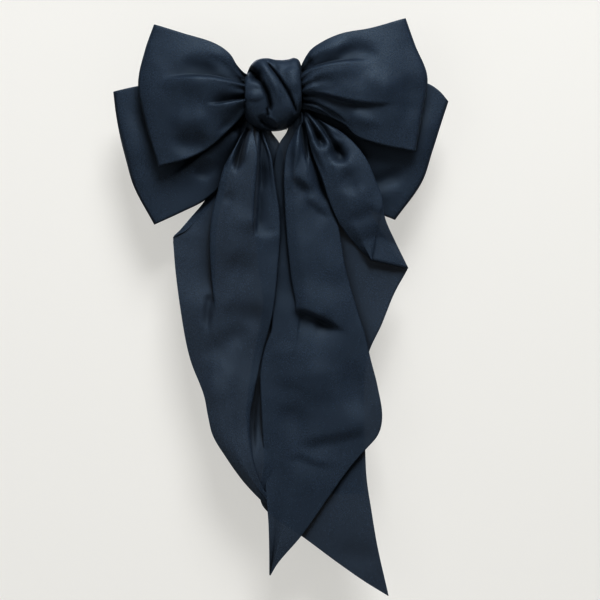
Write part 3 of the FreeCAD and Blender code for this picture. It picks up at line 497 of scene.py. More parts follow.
def left_tail_columns(z):
    """The left tail's fold lines in the order of the cloth, from its hem round its pleat to its right."""
    side, pleat, inner, right, far = left_tail_lines(z)
    hem, left_tuck, inner_tuck, right_tuck = (down(t, z) for t in LEFT_TAIL_REACH.values())
    front, edge, panel, under = (down(t, z) for t in LEFT_TAIL_DEPTH.values())
    front, panel, under = FRONT_Y + front, BACK_Y + panel, BACK_Y + under
    right_tuck = np.clip(right_tuck, 0.02, None)
    hem_x = side + np.clip(hem, 0.05, None)
    middle = pleat * 0.6 + inner * 0.4
    tuck_depth = 4
    open_left, open_right = ease(left_tuck / tuck_depth), ease(right_tuck / tuck_depth)
    untucked = ease(-left_tuck / tuck_depth)
    crest = front - 0.8
    pleat_y = (front + edge) * (1 - untucked) + arched(pleat, side, middle, panel, crest) * untucked
    tucked_y = (front + edge) * (1 - open_left) + (under + 0.4) * open_left
    let_out_y = arched(pleat + left_tuck, side, middle, panel, crest)
    right_y = front + 1.2 + 1.4 * ease(inner_tuck / 3)
    shape = [
        (hem_x, panel - 2.2 * ease((hem_x - side) / 3)),
        (side, panel),
        (pleat + left_tuck, tucked_y * (1 - untucked) + let_out_y * untucked),
        (pleat, pleat_y),
        (middle, crest),
        (inner, front - 0.2),
        (inner - inner_tuck, front + 2.2 * ease(inner_tuck / 2)),
        (right, right_y),
        (right - right_tuck, right_y * (1 - open_right) + (under + 0.3) * open_right),
        (far, under + 0.6),
    ]
    return [np.stack([x, y, z], axis=1) for x, y in shape]


def left_tail():
    """The left front tail: a box pleat in the middle, with a panel behind it on each side that opens out
    lower down. Its left panel passes behind the lower bow's loop."""
    columns = left_tail_columns(tail_rows(-12, -276.5))
    grid = rounded(pleated(columns, [8, 26, 9, 14, 14, 5, 14, 8, 14]), 5)
    cols = np.arange(grid.shape[1])[None]
    front = ((cols > 40) & (cols < 88)).astype(float)
    middle = ((cols > 42) & (cols < 72)).astype(float)
    left_tail_creases(grid, front, middle)
    return finish_tail("left_tail_satin", [grid], ["front_left_tail"])


def left_tail_creases(grid, front, middle):
    """front is the part of the cloth that shows in front, and middle the pleat within it."""
    valley(grid, [(-17, -22), (-20.5, -35), (-23.5, -47), (-25, -54)], 5.6, 2.6, 0.05, 0.3, middle)
    valley(grid, [(-20.5, -25), (-26, -38), (-31, -52)], -1.6, 2.2, 0.1, 0.4, middle)
    valley(grid, [(-15.6, -24), (-17.4, -37), (-18.4, -48)], -1.8, 1.8, 0.1, 0.4, middle)
    valley(grid, [(-33, -66), (-29, -69), (-25, -72)], 1.1, 4, 0.4, 0.4, middle)
    inner_line = [(-10, -20), (-10.4, -40), (-11.2, -60), (-12.2, -80), (-12.8, -93)]
    fold(grid, inner_line, -3.0, 1.8, 9, 0.05, 0.15, front)
    valley(grid, [(-7, -44), (-7.4, -54), (-8, -66)], 1.6, 3.4, 0.4, 0.4, front)
    valley(grid, [(-14, -90), (-6, -91.5), (4, -89)], 0.8, 3.4, 0.45, 0.45, front)
    valley(grid, [(-23, -70), (-24, -100), (-20, -126)], -2.0, 9, 0.3, 0.4, front)
    valley(grid, [(-32, -108), (-20, -114), (-8, -117)], 1.8, 9, 0.4, 0.4, front)
    valley(grid, [(-36, -142), (-20, -146), (-4, -144)], 2.2, 8, 0.3, 0.3)
    valley(grid, [(-40.6, -130), (-43, -142), (-43, -158)], 2.4, 3.0, 0.2, 0.5)
    valley(grid, [(-50, -172), (-40, -168), (-25, -158), (-14, -154)], 2.4, 7.5, 0.4, 0.3)
    valley(grid, [(-48, -188), (-34, -188), (-20, -180)], -1.2, 9, 0.3, 0.4)
    valley(grid, [(-7, -178), (-11.9, -200), (-13.6, -216), (-12.8, -240)], 2.6, 1.5, 0.25, 0.35)
    valley(grid, [(-22, -200), (-24, -232), (-16, -252)], 0.8, 8, 0.4, 0.4)
    valley(grid, [(-44, -180), (-42, -198), (-35, -222), (-24, -244)], -2.0, 11, 0.3, 0.4)
    ripple(grid, 34, 2.2, 41)
    ripple(grid, 13, 0.45, 42)


# The right tail's fold lines, and its tuck's reach: (height, place across), from the top down.
RIGHT_TAIL_ACROSS = {
    "hidden": [
        (-12, 10), (-25, 8.6), (-32.5, 3.8), (-41, 1), (-60, -1), (-91, -2), (-122, -2.5), (-154.4, -1.6),
        (-164.8, -5.5), (-180.4, -8.8), (-206.4, -8.1), (-232.4, -6.8), (-258.4, -5.5), (-278, -3.6),
        (-297.4, -2.9), (-314, -2.7),
    ],
    "pleat": [
        (-12, 17), (-18.5, 17.5), (-25.7, 14), (-37.4, 8.1), (-50.4, 5.9), (-76.4, 6.2), (-101, 8.1),
        (-122, 10.7), (-140, 14), (-170, 12), (-314, -2),
    ],
    "right": [
        (-12, 19), (-25, 22), (-41, 29), (-60, 35), (-80.3, 40.5), (-98.5, 43.9), (-114.1, 46.5),
        (-137.5, 53), (-158.3, 59.5), (-172.6, 62.7), (-190.8, 67.3), (-212.9, 70.3), (-223.3, 67.3),
        (-232.4, 59.5), (-242.8, 50.4), (-266.2, 33.5), (-288.3, 17.9), (-306.5, 2.3), (-314, -2.4),
    ],
    "tuck": [
        (-12, 1), (-25, 4), (-50, 8), (-105, 8), (-124, 5), (-137, 2), (-146, 0.1), (-150, 0.03),
        (-314, 0.02),
    ],
}

# Its layers' depths from FRONT_Y: (height, depth).
RIGHT_TAIL_DEPTH = {
    "front": [
        (-12, 0), (-22, -1), (-36, -5.5), (-60, -5.5), (-90, -3.5), (-140, -2.4), (-200, -1.2), (-314, 0.5),
    ],
    "hidden": [(-12, 1), (-60, 0.8), (-165, 1.2), (-190, 0.6), (-314, 0.5)],
    "right": [(-12, 0.5), (-60, 0), (-100, -0.5), (-200, -0.8), (-314, 0.5)],
}


def right_tail_columns(z):
    """The right tail's fold lines in the order of the cloth, from its hidden left side to its right."""
    hidden, pleat, right, tuck = (down(t, z) for t in RIGHT_TAIL_ACROSS.values())
    front_y, hidden_y, right_y = (FRONT_Y + down(t, z) for t in RIGHT_TAIL_DEPTH.values())
    pleat = np.minimum(np.maximum(pleat, hidden + 0.5), right - 0.2)
    right = np.maximum(right, hidden + 0.3)
    tuck = np.clip(tuck, 0.02, None)
    opened = ease(tuck / 4)
    pleat_y = front_y + 1.5
    shape = [
        (hidden, hidden_y),
        (np.minimum(pleat + tuck, right), pleat_y * (1 - opened) + (hidden_y + 0.2) * opened),
        (pleat, pleat_y),
        (pleat * 0.75 + right * 0.25, front_y - 0.7),
        (pleat * 0.45 + right * 0.55, front_y - 0.4),
        (right, right_y),
    ]
    return [np.stack([x, y, z], axis=1) for x, y in shape]


def right_tail():
    """The right front tail: a soft roll on its left with a panel tucked behind it, then one wide panel."""
    columns = right_tail_columns(tail_rows(-12, -314))
    grid = rounded(pleated(columns, [16, 8, 10, 14, 22]), 5)
    front = (np.arange(grid.shape[1])[None] > 23).astype(float)
    right_tail_creases(grid, front)
    nodes = ["front_right_tail", "front_strip"]
    return finish_tail("right_tail_satin", [grid], nodes)


def right_tail_creases(grid, front):
    """front is the part of the cloth that shows in front."""
    valley(grid, [(15.6, -20), (15.4, -32), (14.4, -44), (13, -54)], -2.2, 2.2, 0.05, 0.5, front)
    valley(grid, [(18.6, -20), (19.4, -28), (20.6, -38), (21.9, -48)], 3.4, 1.3, 0.05, 0.35, front)
    valley(grid, [(12, -34), (10.5, -50), (13, -62)], 0.8, 2.6, 0.3, 0.4, front)
    fold(grid, [(11, -50), (17, -54.5), (24, -60), (30, -65)], 2.8, 7, 17, 0.45, 0.45, front)
    valley(grid, [(24, -30), (27, -46), (31, -60), (36, -74)], 3.6, 2.6, 0.1, 0.3, front)
    fold(grid, [(20, -65), (29, -72), (40, -80)], 1.5, 6, 15, 0.4, 0.4, front)
    valley(grid, [(14, -84), (17, -102), (22, -124)], -1.2, 8, 0.45, 0.45, front)
    valley(grid, [(30, -94), (36, -110), (42, -128)], -1.2, 8, 0.45, 0.45, front)
    fold(grid, [(10, -140), (19, -140.3), (27, -143.2), (36, -147.5), (50, -155)], 4.4, 4.5, 19, 0.25, 0.5)
    valley(grid, [(26, -147), (34, -151), (42, -157)], 2.0, 5, 0.35, 0.5)
    valley(grid, [(4, -160), (8, -178), (10, -196)], -1.2, 8, 0.3, 0.4)
    valley(grid, [(26, -172), (28, -190), (24, -204)], -1.5, 12, 0.4, 0.4)
    valley(grid, [(49, -172), (54, -196), (55, -216)], 2.6, 9, 0.45, 0.45)
    fold(grid, [(10, -226), (28, -222.5), (46, -219), (62, -214)], 1.8, 9, 16, 0.35, 0.25)
    fold(grid, [(6, -238), (17, -234.2), (28, -238.5), (44, -241)], 1.0, 6, 12, 0.3, 0.4)
    valley(grid, [(2, -204), (12, -212), (24, -210)], 1.2, 8, 0.4, 0.4)
    ripple(grid, 36, 1.6, 51)
    ripple(grid, 14, 0.4, 52)


# The flap over the lower bow's right loop: its sides and its turned edge, seen from the front.
FLAP_CURVES = {
    "left": [
        (17, -8), (20.5, -20.5), (24.4, -38.7), (30.9, -55.6), (36.1, -71.2), (42.6, -85.5), (51.7, -97.2),
        (63.4, -108.9),
    ],
    "right": [
        (18, -6.5), (24, -13.5), (30.9, -19.2), (42.6, -25.7), (51.7, -33.5), (59.5, -43.9), (64.7, -55.6),
        (69.6, -69), (69.6, -74), (67.9, -80), (65.8, -95), (63.8, -108.9),
    ],
    "edge": [
        (18.3, -6.5), (24.3, -13.5), (31.2, -19.2), (42.9, -25.7), (52, -33.5), (59.8, -43.9), (65, -55.6),
        (69.9, -69), (71.5, -80), (79, -97), (87.4, -114.1),
    ],
}

# The sides of the panel that hangs under the flap: (height, place across), from the top down.
PANEL_ACROSS = {
    "inside": [
        (-14, 12), (-30, 13), (-60, 14), (-80, 15), (-114, 10), (-130, 7), (-170, 2), (-200, -1), (-240, -6),
        (-268, -8), (-276, -1), (-288.9, 17.9), (-305.2, 40), (-318.8, 59.5), (-328, 74.4),
    ],
    "edge": [
        (-14, 19), (-25, 31), (-45, 47), (-60, 56), (-80, 64), (-95, 73.6), (-108, 81.5), (-113, 86.6),
        (-114.5, 87.3), (-116.5, 86.3), (-129.7, 79), (-151.8, 69.9), (-168.7, 62.1), (-200, 58.5),
        (-232.4, 59.5), (-251.9, 60.5), (-271.4, 63.4), (-294.8, 67.3), (-328, 74.8),
    ],
}

# Their depths: (height, depth).
PANEL_DEPTH = {
    "inside": [
        (-14, BACK_Y), (-60, BACK_Y - 0.8), (-150, FRONT_Y + 5.2), (-260, FRONT_Y + 4.8),
        (-328, FRONT_Y + 3.2),
    ],
    "edge": [
        (-14, BACK_Y - 0.4), (-45, BACK_Y - 2), (-80, BACK_Y - 1), (-108, FRONT_Y + 3.6),
        (-150, FRONT_Y + 4), (-328, FRONT_Y + 3.2),
    ],
}


def flap():
    """The back right tail's upper end, which comes over the lower bow's loop and curls under itself."""
    rows = 84
    sides = [path(points, rows).T for points in FLAP_CURVES.values()]
    (left_x, left_z), (right_x, right_z), (edge_x, edge_z) = sides
    s = np.linspace(0, 1, rows)
    lift = FRONT_Y - 1 - 6.5 * np.sin(math.pi * np.clip(s * 1.15, 0, 1)) ** 0.8
    opened = ease((s - 0.62) / 0.12)
    shape = [
        (left_x, lift + 2.2, left_z),
        ((left_x * 2 + right_x) / 3, lift - 0.8, (left_z * 2 + right_z) / 3),
        ((left_x + right_x * 2) / 3, lift - 0.8, (left_z + right_z * 2) / 3),
        (right_x, lift + 2.0 - 1.8 * opened, right_z),
        (right_x + 0.4, lift + 2.6 - 2.2 * opened, right_z),
        (edge_x, lift + 3.0 - 1.0 * opened, edge_z),
    ]
    columns = [np.stack(c, axis=1) for c in shape]
    front = rounded(pleated(columns, [12, 14, 12, 4, 14]), 3)
    curled = [front[-1] + step for step in ([0, 1.2, -0.3], [-1, 2.0, 0.8], [-3.4, 2.4, 4.0])]
    front = np.concatenate([front, np.stack(curled)])
    flap_creases(front)
    return front


def hanging_panel():
    """The rest of the back right tail, hanging behind the right front tail."""
    z = tail_rows(-14, -328)
    sides = [column(z, PANEL_ACROSS[side], PANEL_DEPTH[side]) for side in ("inside", "edge")]
    panel = pleated(sides, [52])
    valley(panel, [(52, -104), (64, -112), (74, -113.5), (86, -116)], 0.6, 2.5, 0.3, 0.2)
    valley(panel, [(40, -300), (56, -302), (70, -306)], 1.2, 8, 0.4, 0.4)
    ripple(panel, 38, 1.3, 62)
    return panel


def back_right_tail():
    """The tail that comes over the lower bow's right loop, folds under itself at a level crease and hangs
    behind the right front tail, down to the lowest tip."""
    grids = [flap(), hanging_panel()]
    nodes = ["back_right_tail", "back_strip"]
    return finish_tail("back_right_tail_satin", grids, nodes)


def flap_creases(front):
    valley(front, [(18, -10), (22, -17), (26, -24), (31, -34)], 3.4, 1.7, 0.03, 0.3)
    valley(front, [(26, -24), (30, -31), (33.5, -38)], 4.0, 3.4, 0.45, 0.35)
    valley(front, [(19, -8), (29, -19.5), (36.5, -30.5), (43, -39), (47, -45)], 3.8, 1.9, 0.03, 0.3)
    valley(front, [(36, -32), (42, -40), (46.5, -48)], 5.8, 4.9, 0.45, 0.35)
    valley(front, [(18, -9.5), (27, -20.5), (34, -30.5), (38, -37)], -1.6, 1.7, 0.05, 0.4)
    valley(front, [(19, -14), (24, -28), (30, -42), (36, -56)], -1.8, 2.2, 0.1, 0.5)
    valley(front, [(27, -15), (38, -24), (47, -31)], -1.6, 2.2, 0.1, 0.4)
    valley(front, [(43, -50), (50, -60), (52, -70)], 2.2, 7, 0.4, 0.45)
    valley(front, [(46, -84), (58, -81), (68, -75)], 1.6, 5, 0.35, 0.3)
    fold(front, [(70, -73), (67.8, -82), (65.4, -96), (63.6, -108)], -0.35, 1.4, 5, 0.1, 0.1)
    ripple(front, 22, 0.8, 61)


def back_left_tail():
    """The fourth tail, hidden behind the others but for its end, which shows through the satin over it."""
    z = tail_rows(-14, -262)
    left = [
        (-14, -14), (-24, -12), (-40, -10), (-60, -10), (-91, -12), (-150, -4), (-200, 10), (-245, 20),
        (-262, 24),
    ]
    right = [
        (-14, -8), (-24, -5.5), (-32, -2), (-45, 6), (-60, 12), (-91, 22), (-150, 42), (-200, 52),
        (-232, 57), (-262, 59),
    ]
    y = [(-14, BACK_Y + 1.2), (-60, BACK_Y + 3.2), (-262, TAIL_BACK_Y - 0.6)]
    grid = pleated([column(z, left, y), column(z, right, y)], [46])
    valley(grid, [(-8, -20), (-4, -50), (0, -90)], 1.5, 3, 0.1, 0.5)
    valley(grid, [(4, -40), (8, -70), (14, -110)], 1.2, 3, 0.2, 0.5)
    ripple(grid, 36, 1.0, 71)
    return finish_tail("back_left_tail_satin", [grid], ["back_left_tail"])


# ---- the knot ----


def knot():
    """A folded band of satin wrapped round the waist: a belly on the left, a proud diagonal band across the
    middle and another fold on the right."""
    turns, widths = 190, 96
    low, high = KNOT_LOW, KNOT_HIGH
    middle_y = (low[1] + high[1]) / 2
    depth = (high[1] - low[1]) / 2
    top = [
        (-18.9, 9.5), (-17.2, 13), (-15.3, 17.2), (-12.4, 20.2), (-8.8, 21.6), (-4.2, 22), (1, 21.0),
        (6.2, 20.8), (10, 21.3), (14, 22.3), (17, 21), (18.4, 17.5),
    ]
    bottom = [
        (-18.9, -16), (-17, -18.5), (-15, -20.4), (-8.8, -23.2), (2.9, -24), (10, -21.8), (15.3, -17.2),
        (18.4, -11),
    ]
    lip_start, lip_width = 0.84, 0.16
    right_share = 0.96
    b = np.linspace(-1, 1, widths)
    flat = np.clip(np.abs(b) / lip_start, 0, 1)
    x_out = np.sign(b) * flat * (high[0] - 0.2)
    lip = np.clip((np.abs(b) - lip_start) / lip_width, 0, 1)
    x = x_out - np.sign(b) * lip**2 * 2.5
    x = np.where(x > 0, x * right_share, x)
    shrink = 1 - 0.34 * lip**0.8
    end_round = 1 - 0.07 * np.clip((np.abs(x_out) - 12) / 6.5, 0, 1) ** 2
    a = np.linspace(0, 2 * math.pi, turns, endpoint=False)[:, None]
    up = smooth(*np.array(top).T, x_out)[None]
    under = -smooth(*np.array(bottom).T, x_out)[None]
    c, d = np.cos(a), np.sin(a)
    tall = np.where(d > 0, up, under)
    z = tall * np.sign(d) * np.abs(d) ** 0.82 * shrink[None] * end_round[None]
    y = middle_y - depth * np.sign(c) * np.abs(c) ** np.where(c > 0, 0.8, 0.5) * (shrink * end_round)[None]
    grid = np.stack([np.broadcast_to(x[None], z.shape), y, z], axis=2).copy()
    shown = ease((c + 0.05) / 0.5) * (1 - lip[None])
    knot_folds(grid, shown)
    ripple(grid, 9, 0.5, 81)
    piece = sheet_mesh("knot_satin", [grid], ring=True, thick=KNOT_THICK)
    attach(piece, "bow")
    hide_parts("knot_band")
    return piece


def knot_folds(grid, shown):
    """The two diagonal grooves, the smooth band between them, and the puckers at the knot's underside."""
    left_line = [(-20, 18), (-16, 15.6), (-11.2, 10.6), (-7.4, 4.8), (-4.2, -1.6), (-2.4, -8), (-1.8, -15)]
    right_line = [(-5.5, 20), (-2.2, 15.6), (1.8, 10.6), (6.2, 4.2), (10.2, -2.3), (13.2, -9.6), (15.2, -15)]
    ridge = [(-9, 20), (-5.6, 14.6), (-1.4, 7.4), (2, 0), (4.4, -9)]
    valley(grid, left_line, 4.6, 1.5, 0.0, 0.16, shown)
    valley(grid, [(-20.5, 16), (-16, 13.4), (-11.5, 9.4), (-8, 3.6)], 7.0, 3.4, 0.0, 0.4, shown)
    valley(grid, ridge, -1.8, 2.6, 0.0, 0.4, shown)
    valley(grid, right_line, 3.0, 1.0, 0.12, 0.1, shown)
    valley(grid, [(-1.5, 21), (0.8, 15.5), (4.5, 10)], 1.2, 2.2, 0.1, 0.5, shown)
    valley(grid, [(10, 16), (12.5, 6), (14.8, -3)], -1.6, 4.5, 0.2, 0.4, shown)
    valley(grid, [(-12.5, 1), (-11.5, -8)], -1.6, 5, 0.4, 0.4, shown)
    valley(grid, [(-4.4, -10), (-4.0, -13.5), (-3.2, -17)], 2.4, 0.8, 0.3, 0.3, shown)
    valley(grid, [(-10.5, -15.8), (-6.5, -18.8), (-2, -21.6), (2.9, -24.4)], 5.4, 2.3, 0.3, 0.1, shown)
    valley(grid, [(4, -25), (9, -22.8), (13, -20), (16, -16.5)], 5.0, 2.8, 0.1, 0.1, shown)
    valley(grid, [(-4, -16), (0, -19), (3.4, -22)], -1.2, 1.3, 0.2, 0.2, shown)


# ---- the felt and the threads ----


def worked_copy(name, source, step, offset):
    """A piece in the place of a small soft CAD solid: its shape in a fine even mesh, whose surface is then
    moved out or in by offset, a function of the points in millimetres."""
    piece = placed(name, frame["nodes"][source].data.copy())
    even = piece.modifiers.new("even mesh", "REMESH")
    even.mode = "VOXEL"
    even.voxel_size = step * MM
    piece = applied(piece)
    points = piece.data.vertices
    at = np.empty(len(points) * 3)
    outward = np.empty(len(points) * 3)
    points.foreach_get("co", at)
    points.foreach_get("normal", outward)
    at = at.reshape(-1, 3) / MM
    at += outward.reshape(-1, 3) * offset(at)[:, None]
    points.foreach_set("co", at.ravel() * MM)
    piece.data.update()
    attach(piece, "bow")
    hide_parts(source)
    return piece


def felt_surface(at):
    """Felt's uneven, hairy face, with slower thick and thin places under it."""
    hair_size, patch_size = 0.9, 6
    hairs = np.array([noise.noise(Vector(p) / hair_size) for p in at])
    slow = np.array([noise.noise(Vector(p) / patch_size) for p in at])
    return 0.07 * hairs + 0.05 * slow


def twisted_plies(at):
    """The slanting grooves between a thread's plies."""
    turn, depth = 1.1, 0.05
    return depth * np.sin(2 * math.pi * at.sum(axis=1) / turn)


def felt_pad():
    """The felt between the bow and the clip."""
    piece = worked_copy("felt_pad", "felt_backing", 0.55, felt_surface)
    return piece


def threads():
    """The thread that pinches the waist, and the ones that sew the knot shut and the clip on."""
    return [
        worked_copy("waist_winding", "waist_thread", 0.22, twisted_plies),
        worked_copy("knot_sewing", "knot_stitches", 0.13, twisted_plies),
        worked_copy("clip_sewing", "barrette_stitches", 0.13, twisted_plies),
    ]


# ---- materials ----


def new_material(name, colour, rough, metal=0.0):
    """A material, its node tree and its shader, with a plain start that each function below adds to."""
    material = bpy.data.materials.new(name)
    material.use_nodes = True
    tree = material.node_tree
    shader = tree.nodes["Principled BSDF"]
    shader.inputs["Base Color"].default_value = (*colour, 1)
    shader.inputs["Roughness"].default_value = rough
    shader.inputs["Metallic"].default_value = metal
    return material, tree, shader


def node(tree, kind, **values):
    """A new shader node, with each value given to its input or its setting of that name."""
    made = tree.nodes.new(kind)
    for key, value in values.items():
        if key in made.inputs:
            made.inputs[key].default_value = value
        else:
            setattr(made, key, value)
    return made


def noise_node(tree, scale, detail=3.0):
    """Noise fixed to the piece itself. A larger scale makes it finer."""
    coordinates = node(tree, "ShaderNodeTexCoord")
    made = node(tree, "ShaderNodeTexNoise", Scale=scale, Detail=detail)
    tree.links.new(coordinates.outputs["Object"], made.inputs["Vector"])
    return made


def slanting_wave(tree, **values):
    """Slanting bands fixed to the piece itself."""
    coordinates = node(tree, "ShaderNodeTexCoord")
    made = node(tree, "ShaderNodeTexWave", bands_direction="DIAGONAL", **values)
    tree.links.new(coordinates.outputs["Object"], made.inputs["Vector"])
    return made


def calculated(tree, operation, first, second):
    """What an operation makes of two values. The second may be a plain number."""
    made = node(tree, "ShaderNodeMath", operation=operation)
    tree.links.new(first, made.inputs[0])
    if isinstance(second, float):
        made.inputs[1].default_value = second
    else:
        tree.links.new(second, made.inputs[1])
    return made.outputs[0]


def bump(tree, height, strength, distance, under=None):
    """The normal of a fine relief, laid over that of another if there is one under it."""
    made = node(tree, "ShaderNodeBump", Strength=strength, Distance=distance)
    tree.links.new(height, made.inputs["Height"])
    if under is not None:
        tree.links.new(under, made.inputs["Normal"])
    return made.outputs["Normal"]


def ramp_between(tree, factor, low, high):
    """A colour between two, by a factor."""
    mix = node(tree, "ShaderNodeMix", data_type="RGBA")
    colours = {"A": (*low, 1), "B": (*high, 1)}
    tree.links.new(factor, mix.inputs["Factor"])
    for socket in mix.inputs:
        if socket.type == "RGBA":
            socket.default_value = colours[socket.name]
    return next(s for s in mix.outputs if s.type == "RGBA")


def value_between(tree, factor, low, high):
    """A number between two, by a factor from 0 to 1."""
    made = node(tree, "ShaderNodeMapRange")
    made.inputs["To Min"].default_value = low
    made.inputs["To Max"].default_value = high
    tree.links.new(factor, made.inputs["Value"])
    return made.outputs["Result"]


def satin_material():
    """Dark navy satin: a soft, broad sheen, a fine grain from its weave, slow changes of colour, painted
    shade that darkens its colour and specular level in the depth of folds, and a little see-through where
    there is only one thickness."""
    material, tree, shader = new_material("navy_satin", (0.012, 0.020, 0.036), 0.6)
    slow = noise_node(tree, 26.0, 2.0)
    dyed = ramp_between(tree, slow.outputs["Fac"], (0.0088, 0.0157, 0.0275), (0.0128, 0.0212, 0.0360))
    # painted shade: an occlusion factor that darkens the satin's colour and specular level in the depth of
    # folds
    painted_shade = painted_fold_shade(tree)
    grain = noise_node(tree, 1150.0, 3.0)
    satin_colour(tree, shader, dyed, painted_shade, grain)
    # the painted shade dims the specular level in folds as well
    gloss_with_painted_shade = calculated(tree, "MULTIPLY", painted_shade, SATIN_GLOSS)
    tree.links.new(gloss_with_painted_shade, shader.inputs["Specular IOR Level"])
    tree.links.new(value_between(tree, grain.outputs["Fac"], 0.5, 0.78), shader.inputs["Roughness"])
    shader.inputs["Specular Tint"].default_value = (0.72, 0.88, 1.0, 1)
    shader.inputs["Sheen Weight"].default_value = 0.05
    shader.inputs["Sheen Roughness"].default_value = 0.38
    shader.inputs["Sheen Tint"].default_value = (0.55, 0.72, 0.95, 1)
    satin_bumps(tree, shader, grain)
    shader.inputs["Alpha"].default_value = SATIN_ALPHA
    return material


def painted_fold_shade(tree):
    """Painted shade: 1 on open cloth, and less in the depth of folds, within about a centimetre of other
    cloth.
    """
    open_air = node(tree, "ShaderNodeAmbientOcclusion", Distance=0.011, samples=16)
    return calculated(tree, "POWER", open_air.outputs["AO"], 1.4)


def satin_colour(tree, shader, dyed, painted_shade, grain):
    """The dyed colour, darkened in folds by painted shade and varied by the grain."""
    shaded = node(tree, "ShaderNodeVectorMath", operation="SCALE")
    tree.links.new(dyed, shaded.inputs[0])
    # painted shade in the folds, times the weave's grain, darkens the dyed colour
    grain_and_painted_shade = calculated(tree, "MULTIPLY", painted_shade, value_between(tree, grain.outputs["Fac"], 0.45, 1.55))
    tree.links.new(grain_and_painted_shade, shaded.inputs["Scale"])
    tree.links.new(shaded.outputs[0], shader.inputs["Base Color"])


def satin_bumps(tree, shader, grain):
    """The slanting ribs of the weave, and over them the grain of its threads."""
    weave = slanting_wave(tree, Scale=420.0, Distortion=2.0, Detail=1.0)
    weave.inputs["Detail Scale"].default_value = 2.0
    ribs = bump(tree, weave.outputs["Fac"], 0.12, 0.0001)
    tree.links.new(bump(tree, grain.outputs["Fac"], 0.6, 0.0003, ribs), shader.inputs["Normal"])


def felt_material():
    material, tree, shader = new_material("navy_felt", (0.02, 0.026, 0.036), 0.95)
    fibres = noise_node(tree, 900.0, 6.0)
    colour = ramp_between(tree, fibres.outputs["Fac"], (0.012, 0.016, 0.024), (0.032, 0.04, 0.052))
    tree.links.new(colour, shader.inputs["Base Color"])
    tree.links.new(bump(tree, fibres.outputs["Fac"], 0.8, 0.0004), shader.inputs["Normal"])
    shader.inputs["Sheen Weight"].default_value = 0.5
    return material


def thread_material():
    material, tree, shader = new_material("dark_thread", (0.015, 0.02, 0.028), 0.6)
    twist = slanting_wave(tree, Scale=900.0, Distortion=1.0)
    colour = ramp_between(tree, twist.outputs["Fac"], (0.008, 0.011, 0.016), (0.03, 0.038, 0.05))
    tree.links.new(colour, shader.inputs["Base Color"])
    tree.links.new(bump(tree, twist.outputs["Fac"], 0.6, 0.0002), shader.inputs["Normal"])
    return material


def metal_material(name, colour, low, high, scratch):
    """Plated or polished steel, with fine drawn lines along the clip and slightly worn patches. Its
    roughness goes from low to high, and scratch is how deep its lines look."""
    material, tree, shader = new_material(name, colour, low, 1.0)
    coordinates = node(tree, "ShaderNodeTexCoord")
    along = node(tree, "ShaderNodeMapping")
    along.inputs["Scale"].default_value = (20.0, 900.0, 900.0)
    lines = node(tree, "ShaderNodeTexNoise", Scale=2.0, Detail=4.0)
    tree.links.new(coordinates.outputs["Object"], along.inputs["Vector"])
    tree.links.new(along.outputs["Vector"], lines.inputs["Vector"])
    wear = noise_node(tree, 160.0, 4.0)
    worn = ramp_between(tree, wear.outputs["Fac"], tuple(c * 0.72 for c in colour), colour)
    tree.links.new(worn, shader.inputs["Base Color"])
    tree.links.new(value_between(tree, lines.outputs["Fac"], low, high), shader.inputs["Roughness"])
    tree.links.new(bump(tree, lines.outputs["Fac"], scratch, 0.00005), shader.inputs["Normal"])
    return material


def finish_pieces(made):
    """Gives each new piece, and each CAD node, the material of its slot. made lists the pieces by slot."""
    finishes = {
        "satin": satin_material(),
        "felt": felt_material(),
        "thread": thread_material(),
        "plated_steel": metal_material("plated_steel", (0.62, 0.60, 0.57), 0.18, 0.42, 0.25),
        "spring_steel": metal_material("spring_steel", (0.45, 0.45, 0.46), 0.22, 0.5, 0.35),
    }
    for slot, pieces in made.items():
        for piece in pieces:
            piece.data.materials.clear()
            piece.data.materials.append(finishes[slot])
    slots = {p["node"]: p["material_slot"] for p in frame["record"]["subparts"]}
    for name, part in frame["nodes"].items():
        for holder in part.material_slots:
            holder.material = finishes[slots[name]]


# ---- floor, light and camera ----


def board(name, middle, across, up, paper, casts_light):
    """A flat board facing across x up, from its middle and its two half-sides."""
    middle, across, up = Vector(middle), Vector(across), Vector(up)
    corners = [middle - across - up, middle + across - up, middle + across + up, middle - across + up]
    mesh = bpy.data.meshes.new(name)
    mesh.from_pydata(corners, [], [(0, 1, 2, 3)])
    mesh.materials.append(paper)
    made = placed(name, mesh)
    made.visible_shadow = casts_light
    made.visible_diffuse = casts_light
    made.visible_glossy = casts_light


def paper_material(name, tone, glow):
    """Pale paper that glows a little, and that is seen from its front only."""
    material, tree, shader = new_material(name, (tone, tone, tone * 0.98), 0.9)
    shader.inputs["Emission Color"].default_value = (0.86, 0.85, 0.82, 1)
    shader.inputs["Emission Strength"].default_value = glow
    facing = node(tree, "ShaderNodeNewGeometry")
    clear = node(tree, "ShaderNodeBsdfTransparent")
    either = node(tree, "ShaderNodeMixShader")
    output = next(n for n in tree.nodes if n.type == "OUTPUT_MATERIAL")
    tree.links.new(facing.outputs["Backfacing"], either.inputs["Fac"])
    tree.links.new(shader.outputs["BSDF"], either.inputs[1])
    tree.links.new(clear.outputs["BSDF"], either.inputs[2])
    tree.links.new(either.outputs["Shader"], output.inputs["Surface"])
    return material


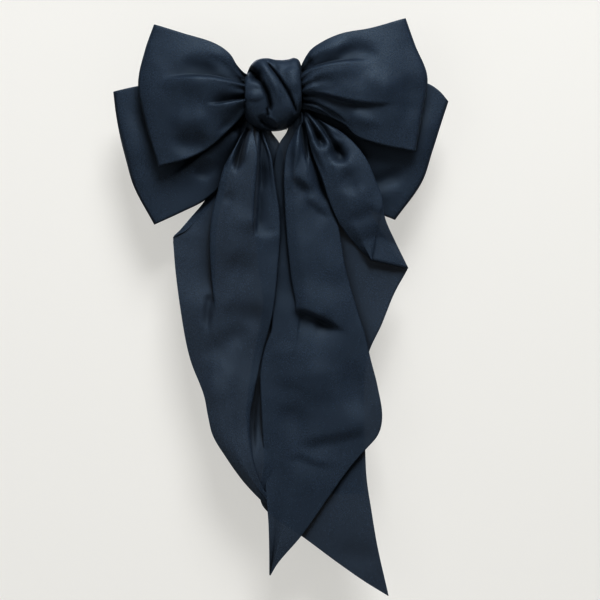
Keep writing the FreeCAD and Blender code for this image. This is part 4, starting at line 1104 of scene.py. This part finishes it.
def stage_set():
    """A pale floor under the bow, a pale board close behind it, and three more boards further off."""
    floor_paper = paper_material("floor_paper", 0.13, 0.43)
    paper = paper_material("pale_paper", 0.13, 0.70)
    floor_z, wall, near, far = -0.37, 3.0, 0.012, -3.0
    board("floor", (0, 0, floor_z), (wall, 0, 0), (0, wall, 0), floor_paper, True)
    board("backdrop", (0, near, floor_z + wall), (wall, 0, 0), (0, 0, wall), paper, False)
    board("front_wall", (0, far, floor_z + wall), (-wall, 0, 0), (0, 0, wall), paper, False)
    board("left_wall", (-wall, 0, floor_z + wall), (0, wall, 0), (0, 0, wall), paper, False)
    board("right_wall", (wall, 0, floor_z + wall), (0, -wall, 0), (0, 0, wall), paper, False)


def area_light(name, place_at, target, size, power):
    """A square soft light that faces its target."""
    data = bpy.data.lights.new(name, "AREA")
    data.shape = "SQUARE"
    data.size = size
    data.energy = power
    lamp = placed(name, data)
    lamp.location = place_at
    lamp.rotation_euler = (Vector(target) - Vector(place_at)).to_track_quat("-Z", "Y").to_euler()


def light_and_camera():
    """Soft studio light, and a camera that looks straight at the bow's front."""
    world = bpy.data.worlds.new("studio")
    bpy.context.scene.world = world
    world.use_nodes = True
    background = world.node_tree.nodes["Background"]
    background.inputs["Color"].default_value = (0.97, 0.98, 1.0, 1)
    background.inputs["Strength"].default_value = 0.12
    middle = (0.017, -0.03, -0.135)
    area_light("key", (0.24, -1.2, 1.4), middle, 0.8, 97)
    area_light("fill", (-0.7, -1.2, 0.0), middle, 0.8, 4)
    area_light("back", (-0.9, 2.0, 0.9), middle, 1.2, 55)
    view = bpy.context.scene.view_settings
    view.view_transform = "Standard"
    view.gamma = 0.74
    lens, sensor, view_height = 110.0, 36.0, 0.39
    data = bpy.data.cameras.new("camera")
    data.lens = lens
    data.sensor_width = sensor
    camera = placed("camera", data)
    distance = view_height * lens / sensor
    camera.location = (middle[0], middle[1] - distance, middle[2])
    camera.rotation_euler = (math.pi / 2, 0, 0)
    bpy.context.scene.camera = camera


bows = [upper_bow(), lower_bow()]
tails = [left_tail(), right_tail(), back_right_tail(), back_left_tail()]
finish_pieces({"satin": bows + tails + [knot()], "felt": [felt_pad()], "thread": threads()})
stage_set()
light_and_camera()
